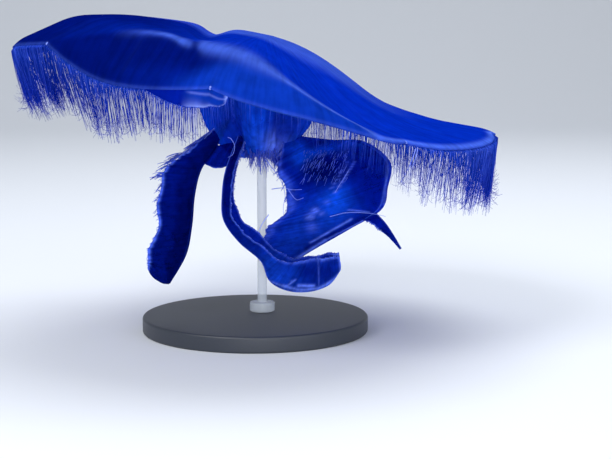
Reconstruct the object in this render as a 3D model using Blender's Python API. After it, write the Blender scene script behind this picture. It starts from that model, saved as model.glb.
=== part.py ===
"""Moon jellyfish, adult, life size, swimming, held by a plain display stand.

Metres, +Z up, X across the jellyfish (left wing at -X), Y into its depth (the side shown to a viewer at -Y).
The origin is on the floor, in the middle of the stand's base.

The bell is a flexible disc. Each radius of it is a strip of constant arc length that bends by an angle which
depends on how far along it a point lies, so the whole pose is a table of slopes at the disc's eight notches.
"""

import math

import bmesh
import bpy
from mathutils import Vector

# ---- Driving dimensions, in metres and degrees ----
BELL_ARC = 0.157  # from the apex to the margin, along the skin
APEX_RISE = 0.036  # apex above the plane through the bell's two wing tips
BELL_CENTRE = Vector((0.0, 0.0, 0.1477))  # middle of the line between the wing tips
ROLL = 10.5  # the right wing hangs lower
PITCH = 1.0  # the front edge hangs lower
TWIST = 10.0  # degrees of further pitch for each metre of X
GAP = 0.0003  # between neighbouring solids
DOME_GAP = 0.0005  # round the dome, whose edge has fewer corners than the lobes' roots
ROOTED = 0.0006  # how far what hangs from the bell reaches into it, before it is cut to fit

# The bell's slope below the horizontal at three stations of each notch, and how far its flap is folded down.
NOTCH_FIRST = -8.0
NOTCH_STEP = 45.0
NOTCHES = (  # shoulder, flank, edge, fold
    (28, 4.5, -1.5, 0),  # right
    (27, 14.5, 4.5, 10),
    (8, 12, 12, 35),  # back
    (3, 12, 22, 20),
    (3, 17, 37, 0),  # left
    (1, 9, 32, 45),
    (3, 6, 9, 26),  # front
    (22, 18, 4, 0),
)
SHOULDER, FLANK, EDGE = 0.42, 0.68, 0.82  # where those stations lie, as shares of the arc
FOLDS = ((-103.0, 42.0), (82.0, 45.0))  # middle and half span of each straight crease, from notch to notch
FOLD_BEND = 0.07  # share of the arc over which a crease bends
RIM_START, RIM_DROOP = 0.93, 22.0
SCALLOP = 0.03  # how far a notch lies inside the lobes, as a share of the arc

FURROW_X, FURROW_HALF, FURROW_DEPTH = -0.032, 0.009, 0.0055  # dip between the two wings
FURROW_NEAR, FURROW_FADE = 0.06, 0.05  # it fades out this far in front of and behind the axis

APEX_THICK, RIM_THICK = 0.016, 0.0016  # of the jelly

DOME_SHARE = 0.60  # the eight lobes start here
DOME_RINGS = (0.07, 0.20, 0.33, 0.46)
DOME_SIDES = 40  # a whole number to each lobe
LOBE_NAMES = (
    "lobe_right_back",
    "lobe_back_right",
    "lobe_back_left",
    "lobe_left_back",
    "lobe_left_front",
    "lobe_front_left",
    "lobe_front_right",
    "lobe_right_front",
)
LOBE_ROWS = 5

TENTACLES = 7  # on each lobe
TENTACLE_ROOT, TENTACLE_TIP = 0.0013, 0.0007  # across
TENTACLE_STEPS = (0.03, 0.12, 0.5, 1.0)
# Length, lean towards +X for each metre of fall, and outward flick of the tip, at each notch.
TENTACLE_HANG = (
    (0.044, -0.06, 0.30),
    (0.042, 0.0, 0.10),
    (0.036, 0.0, 0.0),
    (0.040, 0.10, 0.0),
    (0.048, 0.30, 0.0),
    (0.046, 0.22, 0.0),
    (0.030, 0.05, 0.0),
    (0.036, -0.05, 0.10),
)

MANUBRIUM_CENTRE = 0.002  # its X
MANUBRIUM_SHARE = 0.20  # where its wall leaves the bell, as a share of the arc
MANUBRIUM_CORNERS = 0.22  # how far its four corners stand out
MANUBRIUM_LEVELS = ((0.150, 0.031), (0.138, 0.030), (0.127, 0.026), (0.117, 0.020), (0.109, 0.011))
MANUBRIUM_BOTTOM = 0.107
MANUBRIUM_SIDES = 20

GONAD_AZIMUTHS = (-45.0, 45.0, 135.0, 225.0)
GONAD_SHARE, GONAD_RADIUS, GONAD_THICK = 0.36, 0.012, 0.0045
GONAD_STEPS, GONAD_SIDES = 9, 6
GONAD_OPENING = 50.0  # half the angle that the horseshoe leaves open, towards the mouth

ARM_THICK, ARM_EDGE_THICK = 0.0015, 0.0009
ARM_ROWS, ARM_COLUMNS = 6, 6  # of each of its three lengths
ARM_WAVE = 0.0022
LENGTH_NAMES = ("upper", "middle", "lower")

BASE_RADIUS, BASE_HEIGHT, BASE_BEVEL = 0.070, 0.010, 0.0015
ROD_RADIUS, ROD_PLACE = 0.003, (0.004, 0.010)
COLLAR_RADIUS, COLLAR_HEIGHT = 0.008, 0.006

# ---- The oral arms: front lip, midrib and back lip, as (x, y, z) in millimetres, from root to tip ----
ORAL_ARMS = {
    "oral_arm_left": {
        "front": ((-22, -7, 129), (-40, -14, 113), (-53, -17, 103), (-58, -18, 85), (-59, -17, 66),
                  (-66, -14, 46), (-65, -8, 31)),
        "rib": ((-16, 0, 131), (-25, -2, 114), (-34, -4, 101), (-38, -6, 85), (-40, -6, 66),
                (-44, -4, 48), (-54, -2, 30)),
        "back": ((-20, 7, 129), (-34, 14, 112), (-45, 17, 101), (-50, 18, 84), (-50, 16, 66),
                 (-55, 12, 47), (-60, 6, 32)),
        "waves": 5.0,
    },
    "oral_arm_front": {
        "front": ((-5, -20, 121), (-11, -32, 103), (-13, -38, 88), (-11, -42, 74), (-2, -42, 65),
                  (11, -41, 54), (20, -40, 49), (30, -38, 50), (40, -36, 51), (48, -33, 51), (54, -30, 52)),
        "rib": ((-9, -13, 122), (-16, -24, 103), (-18, -30, 88), (-17, -34, 74), (-8, -34, 61),
                (5, -32, 49), (10, -30, 37), (20, -29, 31), (33, -28, 30), (45, -27, 34), (52, -26, 43)),
        "back": ((-4, -11, 122), (-10, -19, 105), (-12, -23, 89), (-9, -25, 76), (0, -26, 67),
                 (13, -25, 55), (22, -21, 49), (31, -18, 49), (40, -17, 50), (48, -19, 52), (54, -22, 52)),
        "waves": 7.0,
    },
    "oral_arm_right": {
        "front": ((18, -9, 119), (15, -19, 104), (18, -25, 93), (21, -27, 82), (14, -23, 72),
                  (6, -18, 64), (5, -15, 56), (9, -12, 50), (14, -9, 44)),
        "rib": ((21, 1, 121), (46, -2, 118), (66, -4, 117), (81, -6, 105), (79, -8, 90),
                (75, -9, 77), (56, -7, 65), (38, -5, 54), (21, -4, 43)),
        "back": ((19, 9, 118), (30, 19, 106), (42, 24, 98), (50, 26, 90), (52, 24, 80),
                 (48, 19, 70), (38, 13, 58), (28, 6, 51), (19, 3, 46)),
        "waves": 5.0,
    },
    "oral_arm_back": {
        "front": ((3, 15, 118), (16, 26, 98), (34, 32, 82), (58, 32, 71), (77, 31, 60), (90, 31, 47)),
        "rib": ((6, 21, 122), (25, 34, 108), (45, 40, 92), (65, 39, 77), (81, 35, 63), (92, 33, 46)),
        "back": ((6, 24, 117), (20, 44, 100), (38, 50, 84), (60, 46, 71), (77, 39, 60), (90, 35, 47)),
        "waves": 5.0,
    },
}


def clear_scene():
    for obj in list(bpy.data.objects):
        bpy.data.objects.remove(obj)


# ---- The bell's surface ----
def ease(x):
    """0 below 0, 1 above 1, and smooth between them."""
    x = min(1.0, max(0.0, x))
    return x * x * (3 - 2 * x)


def at_azimuth(table, azimuth):
    """A notch table's row at any azimuth, blended between the two nearest notches."""
    turns = (azimuth - NOTCH_FIRST) / NOTCH_STEP
    low = math.floor(turns)
    share = ease(turns - low)
    before, after = table[low % len(table)], table[(low + 1) % len(table)]
    return [a + (b - a) * share for a, b in zip(before, after)]


def crease_share(azimuth):
    """Where the straight crease of a folded flap crosses this radius, or past the margin where none does."""
    for middle, half_span in FOLDS:
        away = (azimuth - middle + 180) % 360 - 180
        if abs(away) < 45:
            return math.cos(math.radians(half_span)) / math.cos(math.radians(away))
    return 2.0


def bell_slope(share, pose, crease):
    """Slope below the horizontal, in degrees, at this share of the arc."""
    shoulder, flank, edge, fold = pose
    if share < SHOULDER:
        slope = shoulder * math.sin(math.pi / 2 * share / SHOULDER)
    elif share < FLANK:
        slope = shoulder + (flank - shoulder) * ease((share - SHOULDER) / (FLANK - SHOULDER))
    else:
        slope = flank + (edge - flank) * ease((share - FLANK) / (EDGE - FLANK))
    slope += fold * ease((share - crease) / FOLD_BEND + 0.5)
    return slope + RIM_DROOP * ease((share - RIM_START) / (1 - RIM_START))


PROFILE_STEPS = 100
profiles = {}


def profile(azimuth):
    """(radius, fall) at equal steps of the arc along one radius of the bell."""
    key = round(azimuth % 360, 6)
    if key not in profiles:
        pose, crease = at_azimuth(NOTCHES, azimuth), crease_share(azimuth)
        step = BELL_ARC / PROFILE_STEPS
        points = [(0.0, 0.0)]
        for i in range(PROFILE_STEPS + 4):
            slope = math.radians(bell_slope((i + 0.5) / PROFILE_STEPS, pose, crease))
            radius, fall = points[-1]
            points.append((radius + math.cos(slope) * step, fall + math.sin(slope) * step))
        profiles[key] = points
    return profiles[key]


def bell_top(share, azimuth):
    """A point of the bell's upper skin."""
    points = profile(azimuth)
    along = share * PROFILE_STEPS
    low = min(int(along), len(points) - 2)
    radius, fall = (a + (b - a) * (along - low) for a, b in zip(points[low], points[low + 1]))
    turn = math.radians(azimuth)
    x, y = radius * math.cos(turn), radius * math.sin(turn)
    furrow = FURROW_DEPTH * math.exp(-(((x - FURROW_X) / FURROW_HALF) ** 2))
    z = APEX_RISE - fall - furrow * (1 - ease((abs(y) - FURROW_NEAR) / FURROW_FADE))
    pitch, roll = math.radians(PITCH + TWIST * x), math.radians(ROLL)
    y, z = y * math.cos(pitch) - z * math.sin(pitch), z * math.cos(pitch) + y * math.sin(pitch)
    x, z = x * math.cos(roll) + z * math.sin(roll), z * math.cos(roll) - x * math.sin(roll)
    return BELL_CENTRE + Vector((x, y, z))


def bell_normal(share, azimuth):
    """The outward normal of the upper skin."""
    share = max(share, 0.02)
    outward = bell_top(share + 0.004, azimuth) - bell_top(share - 0.004, azimuth)
    around = bell_top(share, azimuth + 0.5) - bell_top(share, azimuth - 0.5)
    return outward.cross(around).normalized()


def jelly_thickness(share):
    return RIM_THICK + (APEX_THICK - RIM_THICK) * max(0.0, 1 - share * share) ** 1.5


def bell_under(share, azimuth, below=0.0):
    """A point of the bell's lower skin, or this far below it."""
    return bell_top(share, azimuth) - bell_normal(share, azimuth) * (jelly_thickness(share) + below)


def margin_share(azimuth):
    """Where the margin lies: the lobes are rounded, with a notch between each two."""
    across = ((azimuth - NOTCH_FIRST) / NOTCH_STEP) % 1.0
    return 1 - SCALLOP * abs(2 * across - 1) ** 4


# ---- Building meshes ----
def new_material(name, colour, roughness, metallic=0.0):
    material = bpy.data.materials.new(name)
    material.use_nodes = True
    shader = material.node_tree.nodes["Principled BSDF"]
    shader.inputs["Base Color"].default_value = (*colour, 1)
    shader.inputs["Roughness"].default_value = roughness
    shader.inputs["Metallic"].default_value = metallic
    return material


def add_node(name, bm, material):
    """Turns a bmesh into an object, with its faces pointing out and its round surfaces smooth.

    Bent quads are split along a fixed diagonal, so that a solid and its cutter stay parallel.
    """
    bmesh.ops.triangulate(bm, faces=bm.faces, quad_method="FIXED")
    bmesh.ops.recalc_face_normals(bm, faces=bm.faces)
    mesh = bpy.data.meshes.new(name)
    bm.to_mesh(mesh)
    bm.free()
    mesh.materials.append(material)
    mesh.shade_smooth()
    mesh.set_sharp_from_angle(angle=math.radians(40))
    obj = bpy.data.objects.new(name, mesh)
    bpy.context.scene.collection.objects.link(obj)
    return obj


def fit_to(obj, cutter):
    """Cuts an object back to its neighbour, whose slightly larger copy the cutter is."""
    cut = obj.modifiers.new("Fit to its neighbour", "BOOLEAN")
    cut.object = cutter
    cut.operation = "DIFFERENCE"
    cut.solver = "EXACT"


def as_cutter(obj):
    obj.hide_render = True
    obj.display_type = "WIRE"
    return obj


def strip(bm, first, second):
    """Quads between two rows of vertices."""
    return [
        bm.faces.new((first[i], first[i + 1], second[i + 1], second[i]))
        for i in range(len(first) - 1)
    ]


def grid_solid(bm, upper, lower):
    """A closed solid between two grids of points of the same size. Returns the faces along the last row."""
    above = [[bm.verts.new(p) for p in row] for row in upper]
    below = [[bm.verts.new(p) for p in row] for row in lower]
    for sheet in (above, below):
        for first, second in zip(sheet, sheet[1:]):
            strip(bm, first, second)
    strip(bm, above[0], below[0])
    for side in (0, -1):
        strip(bm, [row[side] for row in above], [row[side] for row in below])
    return strip(bm, above[-1], below[-1])


def ring_solid(bm, rings, first_point, last_point):
    """A closed solid through closed rings of points, with a point at each end."""
    loops = [[bm.verts.new(p) for p in ring] for ring in rings]
    for first, second in zip(loops, loops[1:]):
        strip(bm, first + first[:1], second + second[:1])
    for point, loop in ((first_point, loops[0]), (last_point, loops[-1])):
        tip = bm.verts.new(point)
        for a, b in zip(loop, loop[1:] + loop[:1]):
            bm.faces.new((tip, a, b))


def tube_solid(bm, path, across, sides):
    """A round tube of constant thickness through the points of a path, with pointed ends."""
    rings = []
    for i, point in enumerate(path):
        ahead = (path[min(i + 1, len(path) - 1)] - path[max(i - 1, 0)]).normalized()
        side = ahead.cross(Vector((0, 0, 1))).normalized()
        up = side.cross(ahead)
        turns = [2 * math.pi * k / sides for k in range(sides)]
        rings.append([point + (side * math.cos(t) + up * math.sin(t)) * across / 2 for t in turns])
    reach = [(path[0] - path[1]).normalized(), (path[-1] - path[-2]).normalized()]
    ring_solid(bm, rings, path[0] + reach[0] * across / 3, path[-1] + reach[1] * across / 3)


# ---- The bell ----
def build_dome(name, material, outset=0.0):
    """The bell's middle. outset lowers its lower skin."""
    bm = bmesh.new()
    edge = DOME_SHARE - DOME_GAP / 2 / BELL_ARC
    shares = [*DOME_RINGS, edge]
    azimuths = [NOTCH_FIRST + 360 * i / DOME_SIDES for i in range(DOME_SIDES)]
    top = [[bell_top(s, a) for a in azimuths] for s in shares]
    under = [[bell_under(s, a, outset) for a in azimuths] for s in reversed(shares)]
    ring_solid(bm, top + under, bell_top(0, 0), bell_under(0, 0, outset))
    return add_node(name, bm, material)


def lobe_azimuths(start):
    """The lobe's columns: a narrow one at each tentacle's root, and a wide one on each side of it."""
    half = math.degrees(TENTACLE_ROOT / 2 / BELL_ARC)
    roots = [start + NOTCH_STEP * (i + 0.5) / TENTACLES for i in range(TENTACLES)]
    between = [side for root in roots for side in (root - half, root + half)]
    return [start, *between, start + NOTCH_STEP]


def tentacle_centres(root, outward, azimuth):
    """(centre, direction) of a tentacle's rings as it leaves the margin and turns down to hang."""
    length, lean, flick = at_azimuth(TENTACLE_HANG, azimuth)
    length *= 1 + 0.10 * math.sin(azimuth * 2.9)
    centre, done, rings = root.copy(), 0.0, []
    for reached in TENTACLE_STEPS:
        middle = (done + reached) / 2
        hang = Vector((lean + flick * middle**2 * 3, 0.06 * math.sin(azimuth), -1)).normalized()
        turned = ease(middle / 0.12)
        direction = (outward * (1 - turned) + hang * turned).normalized()
        centre = centre + direction * length * (reached - done)
        rings.append((centre, direction))
        done = reached
    return rings


def grow_tentacle(bm, face, azimuth):
    """Extrudes one face of a lobe's rim into a tapering four-sided tentacle."""
    middle = face.calc_center_median()
    sideways = (face.verts[1].co - face.verts[0].co).normalized()
    outward = (middle - BELL_CENTRE).normalized()
    outward = (outward - sideways * outward.dot(sideways)).normalized()
    upward = face.verts[0].co - face.verts[3].co
    spin = 1 if sideways.cross(outward).dot(upward) > 0 else -1
    corners = list(face.verts)
    bm.faces.remove(face)
    rings = tentacle_centres(middle, outward, azimuth)
    for i, (centre, direction) in enumerate(rings):
        share = TENTACLE_STEPS[i]
        half = (TENTACLE_ROOT + (TENTACLE_TIP - TENTACLE_ROOT) * share) / 2
        across = (sideways - direction * sideways.dot(direction)).normalized() * half
        along = across.cross(direction).normalized() * half * spin
        places = (-across + along, across + along, across - along, -across - along)
        ring = [bm.verts.new(centre + p) for p in places]
        strip(bm, corners + corners[:1], ring + ring[:1])
        corners = ring
    bm.faces.new(corners)


def build_lobe(name, start, material):
    bm = bmesh.new()
    azimuths = lobe_azimuths(start)
    upper, lower = [], []
    for row in range(LOBE_ROWS + 1):
        rows = ([], [])
        for column, azimuth in enumerate(azimuths):
            margin = margin_share(azimuth)
            begin = DOME_SHARE + DOME_GAP / 2 / BELL_ARC
            share = begin + (margin - begin) * row / LOBE_ROWS
            trim = math.degrees(GAP / 2 / (share * BELL_ARC))
            inward = {0: trim, len(azimuths) - 1: -trim}.get(column, 0.0)
            rows[0].append(bell_top(share, azimuth + inward))
            rows[1].append(bell_under(share, azimuth + inward))
        upper.append(rows[0])
        lower.append(rows[1])
    rim = grid_solid(bm, upper, lower)
    bm.normal_update()
    for i in range(TENTACLES):
        grow_tentacle(bm, rim[2 * i + 1], start + NOTCH_STEP * (i + 0.5) / TENTACLES)
    add_node(name, bm, material)


# ---- What hangs from the bell ----
def manubrium_ring(level, radius, outset):
    points = []
    for i in range(MANUBRIUM_SIDES):
        turn = 2 * math.pi * i / MANUBRIUM_SIDES
        reach = radius * (1 + MANUBRIUM_CORNERS * math.cos(4 * turn)) + outset
        points.append(Vector((MANUBRIUM_CENTRE + reach * math.cos(turn), reach * math.sin(turn), level)))
    return points


def build_manubrium(name, material, outset=0.0):
    """The mouth's stalk: a squat four-cornered pouch whose top follows the bell's lower skin."""
    bm = bmesh.new()
    rings = []
    for part in (0.45, 1.0):
        ring = []
        for i in range(MANUBRIUM_SIDES):
            turn = 2 * math.pi * i / MANUBRIUM_SIDES
            share = MANUBRIUM_SHARE * part * (1 + MANUBRIUM_CORNERS * math.cos(4 * turn))
            ring.append(bell_under(share + outset / BELL_ARC, math.degrees(turn), -ROOTED - outset))
        rings.append(ring)
    rings += [manubrium_ring(level, radius, outset) for level, radius in MANUBRIUM_LEVELS]
    bottom = Vector((MANUBRIUM_CENTRE, 0, MANUBRIUM_BOTTOM - outset))
    ring_solid(bm, rings, bell_under(0, 0, -ROOTED - outset), bottom)
    return add_node(name, bm, material)


def build_gonad(name, azimuth, cutter, material):
    """A horseshoe under the bell, open towards the mouth."""
    bm = bmesh.new()
    middle = math.radians(azimuth)
    east, north = (GONAD_SHARE * BELL_ARC * f(middle) for f in (math.cos, math.sin))
    path = []
    for i in range(GONAD_STEPS + 1):
        sweep = GONAD_OPENING + (360 - 2 * GONAD_OPENING) * i / GONAD_STEPS
        turn = middle + math.radians(180 + sweep)
        x, y = east + GONAD_RADIUS * math.cos(turn), north + GONAD_RADIUS * math.sin(turn)
        share = math.hypot(x, y) / BELL_ARC
        path.append(bell_under(share, math.degrees(math.atan2(y, x)), GONAD_THICK / 2 - ROOTED))
    tube_solid(bm, path, GONAD_THICK, GONAD_SIDES)
    fit_to(add_node(name, bm, material), cutter)


def through(points, share):
    """A point of the smooth curve through these points, in metres."""
    along = min(max(share, 0.0), 1.0) * (len(points) - 1)
    low = min(int(along), len(points) - 2)
    t = along - low
    before, a, b, after = (
        Vector(points[min(max(low + k, 0), len(points) - 1)]) for k in (-1, 0, 1, 2)
    )
    bend = a * 2 + (b - before) * t + (before * 2 - a * 5 + b * 4 - after) * t**2
    return (bend + (a * 3 - before - b * 3 + after) * t**3) / 2 * 0.001


def arm_point(arm, share, across):
    """A point of an oral arm's sheet. across runs from 0, the front lip, over the midrib to 1, the back lip."""
    front, rib, back = (through(arm[part], share) for part in ("front", "rib", "back"))
    control = rib * 2 - (front + back) / 2
    point = front * (1 - across) ** 2 + control * (2 * across * (1 - across)) + back * across**2
    ripple = ARM_WAVE * abs(2 * across - 1) ** 2 * math.sin(2 * math.pi * arm["waves"] * share + 2 * across)
    return point + (back - front).normalized() * ripple


def arm_faces(arm, share, across):
    """The two skins of the sheet at this place."""
    step = 0.004
    ahead = arm_point(arm, min(share + step, 1), across) - arm_point(arm, max(share - step, 0), across)
    aside = arm_point(arm, share, min(across + step, 1)) - arm_point(arm, share, max(across - step, 0))
    normal = ahead.cross(aside).normalized()
    half = (ARM_THICK + (ARM_EDGE_THICK - ARM_THICK) * abs(2 * across - 1)) / 2
    middle = arm_point(arm, share, across)
    return middle + normal * half, middle - normal * half


def build_arm(name, arm, cutter, material):
    """Three lengths of one oral arm, each a trough of thin sheet with wavy lips."""
    span = sum(
        (through(arm["rib"], (i + 1) / 20) - through(arm["rib"], i / 20)).length for i in range(20)
    )
    trim = GAP / 2 / span
    for i, part in enumerate(LENGTH_NAMES):
        start, end = (i + (i > 0) * 3 * trim) / 3, (i + 1 - (i < 2) * 3 * trim) / 3
        upper, lower = [], []
        for row in range(ARM_ROWS + 1):
            share = start + (end - start) * row / ARM_ROWS
            pairs = [arm_faces(arm, share, column / ARM_COLUMNS) for column in range(ARM_COLUMNS + 1)]
            upper.append([pair[0] for pair in pairs])
            lower.append([pair[1] for pair in pairs])
        bm = bmesh.new()
        grid_solid(bm, upper, lower)
        obj = add_node(f"{name}_{part}", bm, material)
        if i == 0:
            fit_to(obj, cutter)


# ---- The display stand ----
def add_turned(name, outline, material, centre=(0.0, 0.0), sides=36):
    """A solid turned about a vertical axis through centre. The outline is (radius, height), from top to bottom."""
    bm = bmesh.new()
    turns = [2 * math.pi * k / sides for k in range(sides)]
    rings = [
        [Vector((centre[0] + r * math.cos(t), centre[1] + r * math.sin(t), z)) for t in turns]
        for r, z in outline
    ]
    loops = [[bm.verts.new(p) for p in ring] for ring in rings]
    for first, second in zip(loops, loops[1:]):
        strip(bm, first + first[:1], second + second[:1])
    bm.faces.new(loops[0])
    bm.faces.new(loops[-1])
    add_node(name, bm, material)


def build_stand(base_material, rod_material):
    top, edge = BASE_HEIGHT, BASE_BEVEL
    add_turned(
        "stand_base",
        ((BASE_RADIUS - edge, top), (BASE_RADIUS, top - edge), (BASE_RADIUS, edge), (BASE_RADIUS - edge, 0)),
        base_material,
    )
    foot = top + GAP
    add_turned(
        "stand_rod",
        (
            (ROD_RADIUS - 0.0005, ROD_TOP),
            (ROD_RADIUS, ROD_TOP - 0.0005),
            (ROD_RADIUS, foot + COLLAR_HEIGHT),
            (COLLAR_RADIUS - 0.001, foot + COLLAR_HEIGHT),
            (COLLAR_RADIUS, foot + COLLAR_HEIGHT - 0.001),
            (COLLAR_RADIUS, foot),
        ),
        rod_material,
        ROD_PLACE,
        12,
    )


ROD_TOP = MANUBRIUM_BOTTOM - GAP


def main():
    clear_scene()
    jelly = new_material("jelly", (0.10, 0.22, 0.85), 0.25)
    flesh = new_material("oral_tissue", (0.16, 0.30, 0.90), 0.35)
    ripe = new_material("gonad_tissue", (0.55, 0.50, 0.95), 0.40)
    slate = new_material("stand_base", (0.06, 0.07, 0.09), 0.45)
    acrylic = new_material("stand_rod", (0.80, 0.86, 0.92), 0.10)
    build_dome("bell_dome", jelly)
    for i, name in enumerate(LOBE_NAMES):
        build_lobe(name, NOTCH_FIRST + NOTCH_STEP * i, jelly)
    dome_cutter = as_cutter(build_dome("bell_dome_cutter", jelly, outset=GAP))
    fit_to(build_manubrium("manubrium", flesh), dome_cutter)
    for i, azimuth in enumerate(GONAD_AZIMUTHS):
        build_gonad(f"gonad_{i + 1}", azimuth, dome_cutter, ripe)
    manubrium_cutter = as_cutter(build_manubrium("manubrium_cutter", flesh, outset=GAP))
    for name, arm in ORAL_ARMS.items():
        build_arm(name, arm, manubrium_cutter, flesh)
    build_stand(slate, acrylic)


main()
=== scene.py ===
"""Looks of the moon jellyfish on its display stand.

The frame is in metres: +X across the bell, +Y away from the viewer, +Z up, with the origin under the base.
The bell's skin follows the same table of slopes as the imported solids, at a finer step. It and the other skins
carry the canals, tentacles, folds and frills that the solids leave out.
"""

import math

import bmesh
import bpy
import numpy as np
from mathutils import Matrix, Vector


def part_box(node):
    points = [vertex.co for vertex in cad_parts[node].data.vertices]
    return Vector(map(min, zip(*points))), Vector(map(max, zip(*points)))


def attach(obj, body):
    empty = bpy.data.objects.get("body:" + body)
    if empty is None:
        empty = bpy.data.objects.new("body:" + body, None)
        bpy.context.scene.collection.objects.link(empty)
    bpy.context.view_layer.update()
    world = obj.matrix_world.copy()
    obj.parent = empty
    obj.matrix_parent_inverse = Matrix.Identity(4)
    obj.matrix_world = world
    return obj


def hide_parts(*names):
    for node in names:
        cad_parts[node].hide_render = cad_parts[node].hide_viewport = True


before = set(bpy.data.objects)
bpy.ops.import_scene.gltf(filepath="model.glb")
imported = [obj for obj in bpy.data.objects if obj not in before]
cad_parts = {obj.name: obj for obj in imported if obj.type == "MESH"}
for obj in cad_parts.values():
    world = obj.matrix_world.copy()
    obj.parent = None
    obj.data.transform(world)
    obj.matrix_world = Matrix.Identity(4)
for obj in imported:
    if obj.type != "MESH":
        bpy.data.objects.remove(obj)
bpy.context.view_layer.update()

SEED = 7
random = np.random.default_rng(SEED)
MM = 0.001
DOWN = np.array([0, 0, -1.0])

# ---- The bell's pose: the same values as its solids ----
BELL_ARC = 0.157  # from the apex to the margin, along the skin
APEX_RISE = 0.036
BELL_CENTRE = np.array([0.0, 0.0, 0.1477])
ROLL, PITCH, TWIST = 10.5, 1.0, 10.0
NOTCH_FIRST, NOTCH_STEP = -8.0, 45.0
NOTCHES = np.array([  # shoulder, flank, edge, fold
    (28, 4.5, -1.5, 0),  # right
    (27, 14.5, 4.5, 10),
    (8, 12, 12, 35),  # back
    (3, 12, 22, 20),
    (3, 17, 37, 0),  # left
    (1, 9, 32, 45),
    (3, 6, 9, 26),  # front
    (22, 18, 4, 0),
], float)
SHOULDER, FLANK, EDGE = 0.42, 0.68, 0.82  # where those stations lie, as shares of the arc
FOLDS, FOLD_BEND = ((-103.0, 42.0), (82.0, 45.0)), 0.07  # middle and half span of each straight crease
RIM_START, RIM_DROOP = 0.93, 22.0
SCALLOP = 0.03
FURROW_X, FURROW_HALF, FURROW_DEPTH = -0.032, 0.009, 0.0055
FURROW_NEAR, FURROW_FADE = 0.06, 0.05
APEX_THICK, RIM_THICK = 0.016, 0.0016

# ---- How finely the bell's skin follows it ----
PROFILE_STEPS, PROFILE_TURNS = 200, 1440
PROFILE_REACH = 1.04  # the profiles go on this far, as a share of the arc
NORMAL_SHARE, NORMAL_TURN = 0.004, 0.5  # a normal is measured over these steps
APEX_SHARE = 0.02  # nearer the apex than this, the normal stays the same
SKIN_INSET = 0.0001  # the skin lies this far inside the solids
SKIN_AZIMUTHS, SKIN_SHARES = 720, 120
SKIN_CROWDING, SKIN_FIRST = 0.85, 0.004  # rings lie closer towards the margin; the smallest ring's share

# ---- Manubrium and gonads: the same places as their solids ----
MANUBRIUM_CENTRE = 0.002
MANUBRIUM_SHARE, MANUBRIUM_CORNERS, MANUBRIUM_TURNS = 0.20, 0.22, 300
MANUBRIUM_LEVELS = np.array([  # height and radius, from the bell down to the mouth and up into it
    (0.150, 0.031), (0.138, 0.030), (0.127, 0.026), (0.117, 0.020), (0.1105, 0.0125),
    (0.1085, 0.0095), (0.1100, 0.0070), (0.1160, 0.0050), (0.1240, 0.0030), (0.1250, 0.0004),
])
GONAD_AZIMUTHS, GONAD_OPENING = (-45.0, 45.0, 135.0, 225.0), 50.0
GONAD_SHARE, GONAD_RADIUS, GONAD_THICK = 0.36, 0.012, 0.0045

# ---- Colours, as linear RGB ----
NAVY = np.array([0.0004, 0.0060, 0.165])
BLUE = np.array([0.0008, 0.0200, 0.400])
AZURE = np.array([0.0036, 0.0370, 0.430])
LAVENDER = np.array([0.034, 0.080, 0.46])
BRIGHT = np.array([0.080, 0.170, 0.98])
PALE = np.array([0.20, 0.28, 0.88])
VIOLET = np.array([0.12, 0.08, 0.55])
PAINTED_LIGHT_IN_SHADOW = np.array([0.006, 0.110, 1.0])  # painted light: a brighter azure that lifts flesh lying in the bell's shadow
GLINT = np.array([0.12, 0.22, 1.0])
GEL = (0.04, 0.16, 0.85, 1)  # what the tissue lets through


# ---- Smooth steps and spots ----
def ease(x):
    x = np.clip(x, 0, 1)
    return x * x * (3 - 2 * x)


def rise(x, start, width):
    """0 up to the start, 1 from a width past it, and smooth between them."""
    return ease((x - start) / width)


def fade(x, start, width):
    """1 up to the start, 0 from a width past it, and smooth between them."""
    return 1 - rise(x, start, width)


def bump(x):
    """1 at 0, falling smoothly to nothing by about 2."""
    return np.exp(-x * x)


def spot(x, middle, width):
    """1 in the middle, falling smoothly on both sides."""
    return bump((x - middle) / width)


def unit(vectors):
    return vectors / np.maximum(np.linalg.norm(vectors, axis=-1, keepdims=True), 1e-12)


def signed(azimuth):
    """The same azimuth, from -180 to 180."""
    return (np.asarray(azimuth, float) + 180) % 360 - 180


# ---- The bell's surface, for arrays of shares and azimuths ----
def at_azimuth(table, azimuth):
    turns = (np.asarray(azimuth, float) - NOTCH_FIRST) / NOTCH_STEP
    low = np.floor(turns).astype(int)
    share = ease(turns - low)[..., None]
    return table[low % len(table)] * (1 - share) + table[(low + 1) % len(table)] * share


def crease_share(azimuth):
    """Where a straight crease crosses this radius, as a share of the arc, or 2 where none does."""
    crease = np.full(np.shape(azimuth), 2.0)
    for middle, half_span in FOLDS:
        away = signed(azimuth - middle)
        chord = math.cos(math.radians(half_span)) / np.cos(np.radians(away))
        crease = np.where(np.abs(away) < 45, chord, crease)
    return crease


def bell_slope(share, azimuth):
    shoulder, flank, edge, fold = np.moveaxis(at_azimuth(NOTCHES, azimuth), -1, 0)
    slope = np.where(
        share < SHOULDER,
        shoulder * np.sin(np.pi / 2 * np.minimum(share / SHOULDER, 1)),
        shoulder + (flank - shoulder) * rise(share, SHOULDER, FLANK - SHOULDER),
    )
    slope = slope + (edge - flank) * rise(share, FLANK, EDGE - FLANK)
    slope = slope + fold * ease((share - crease_share(azimuth)) / FOLD_BEND + 0.5)
    return slope + RIM_DROOP * rise(share, RIM_START, 1 - RIM_START)


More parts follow.
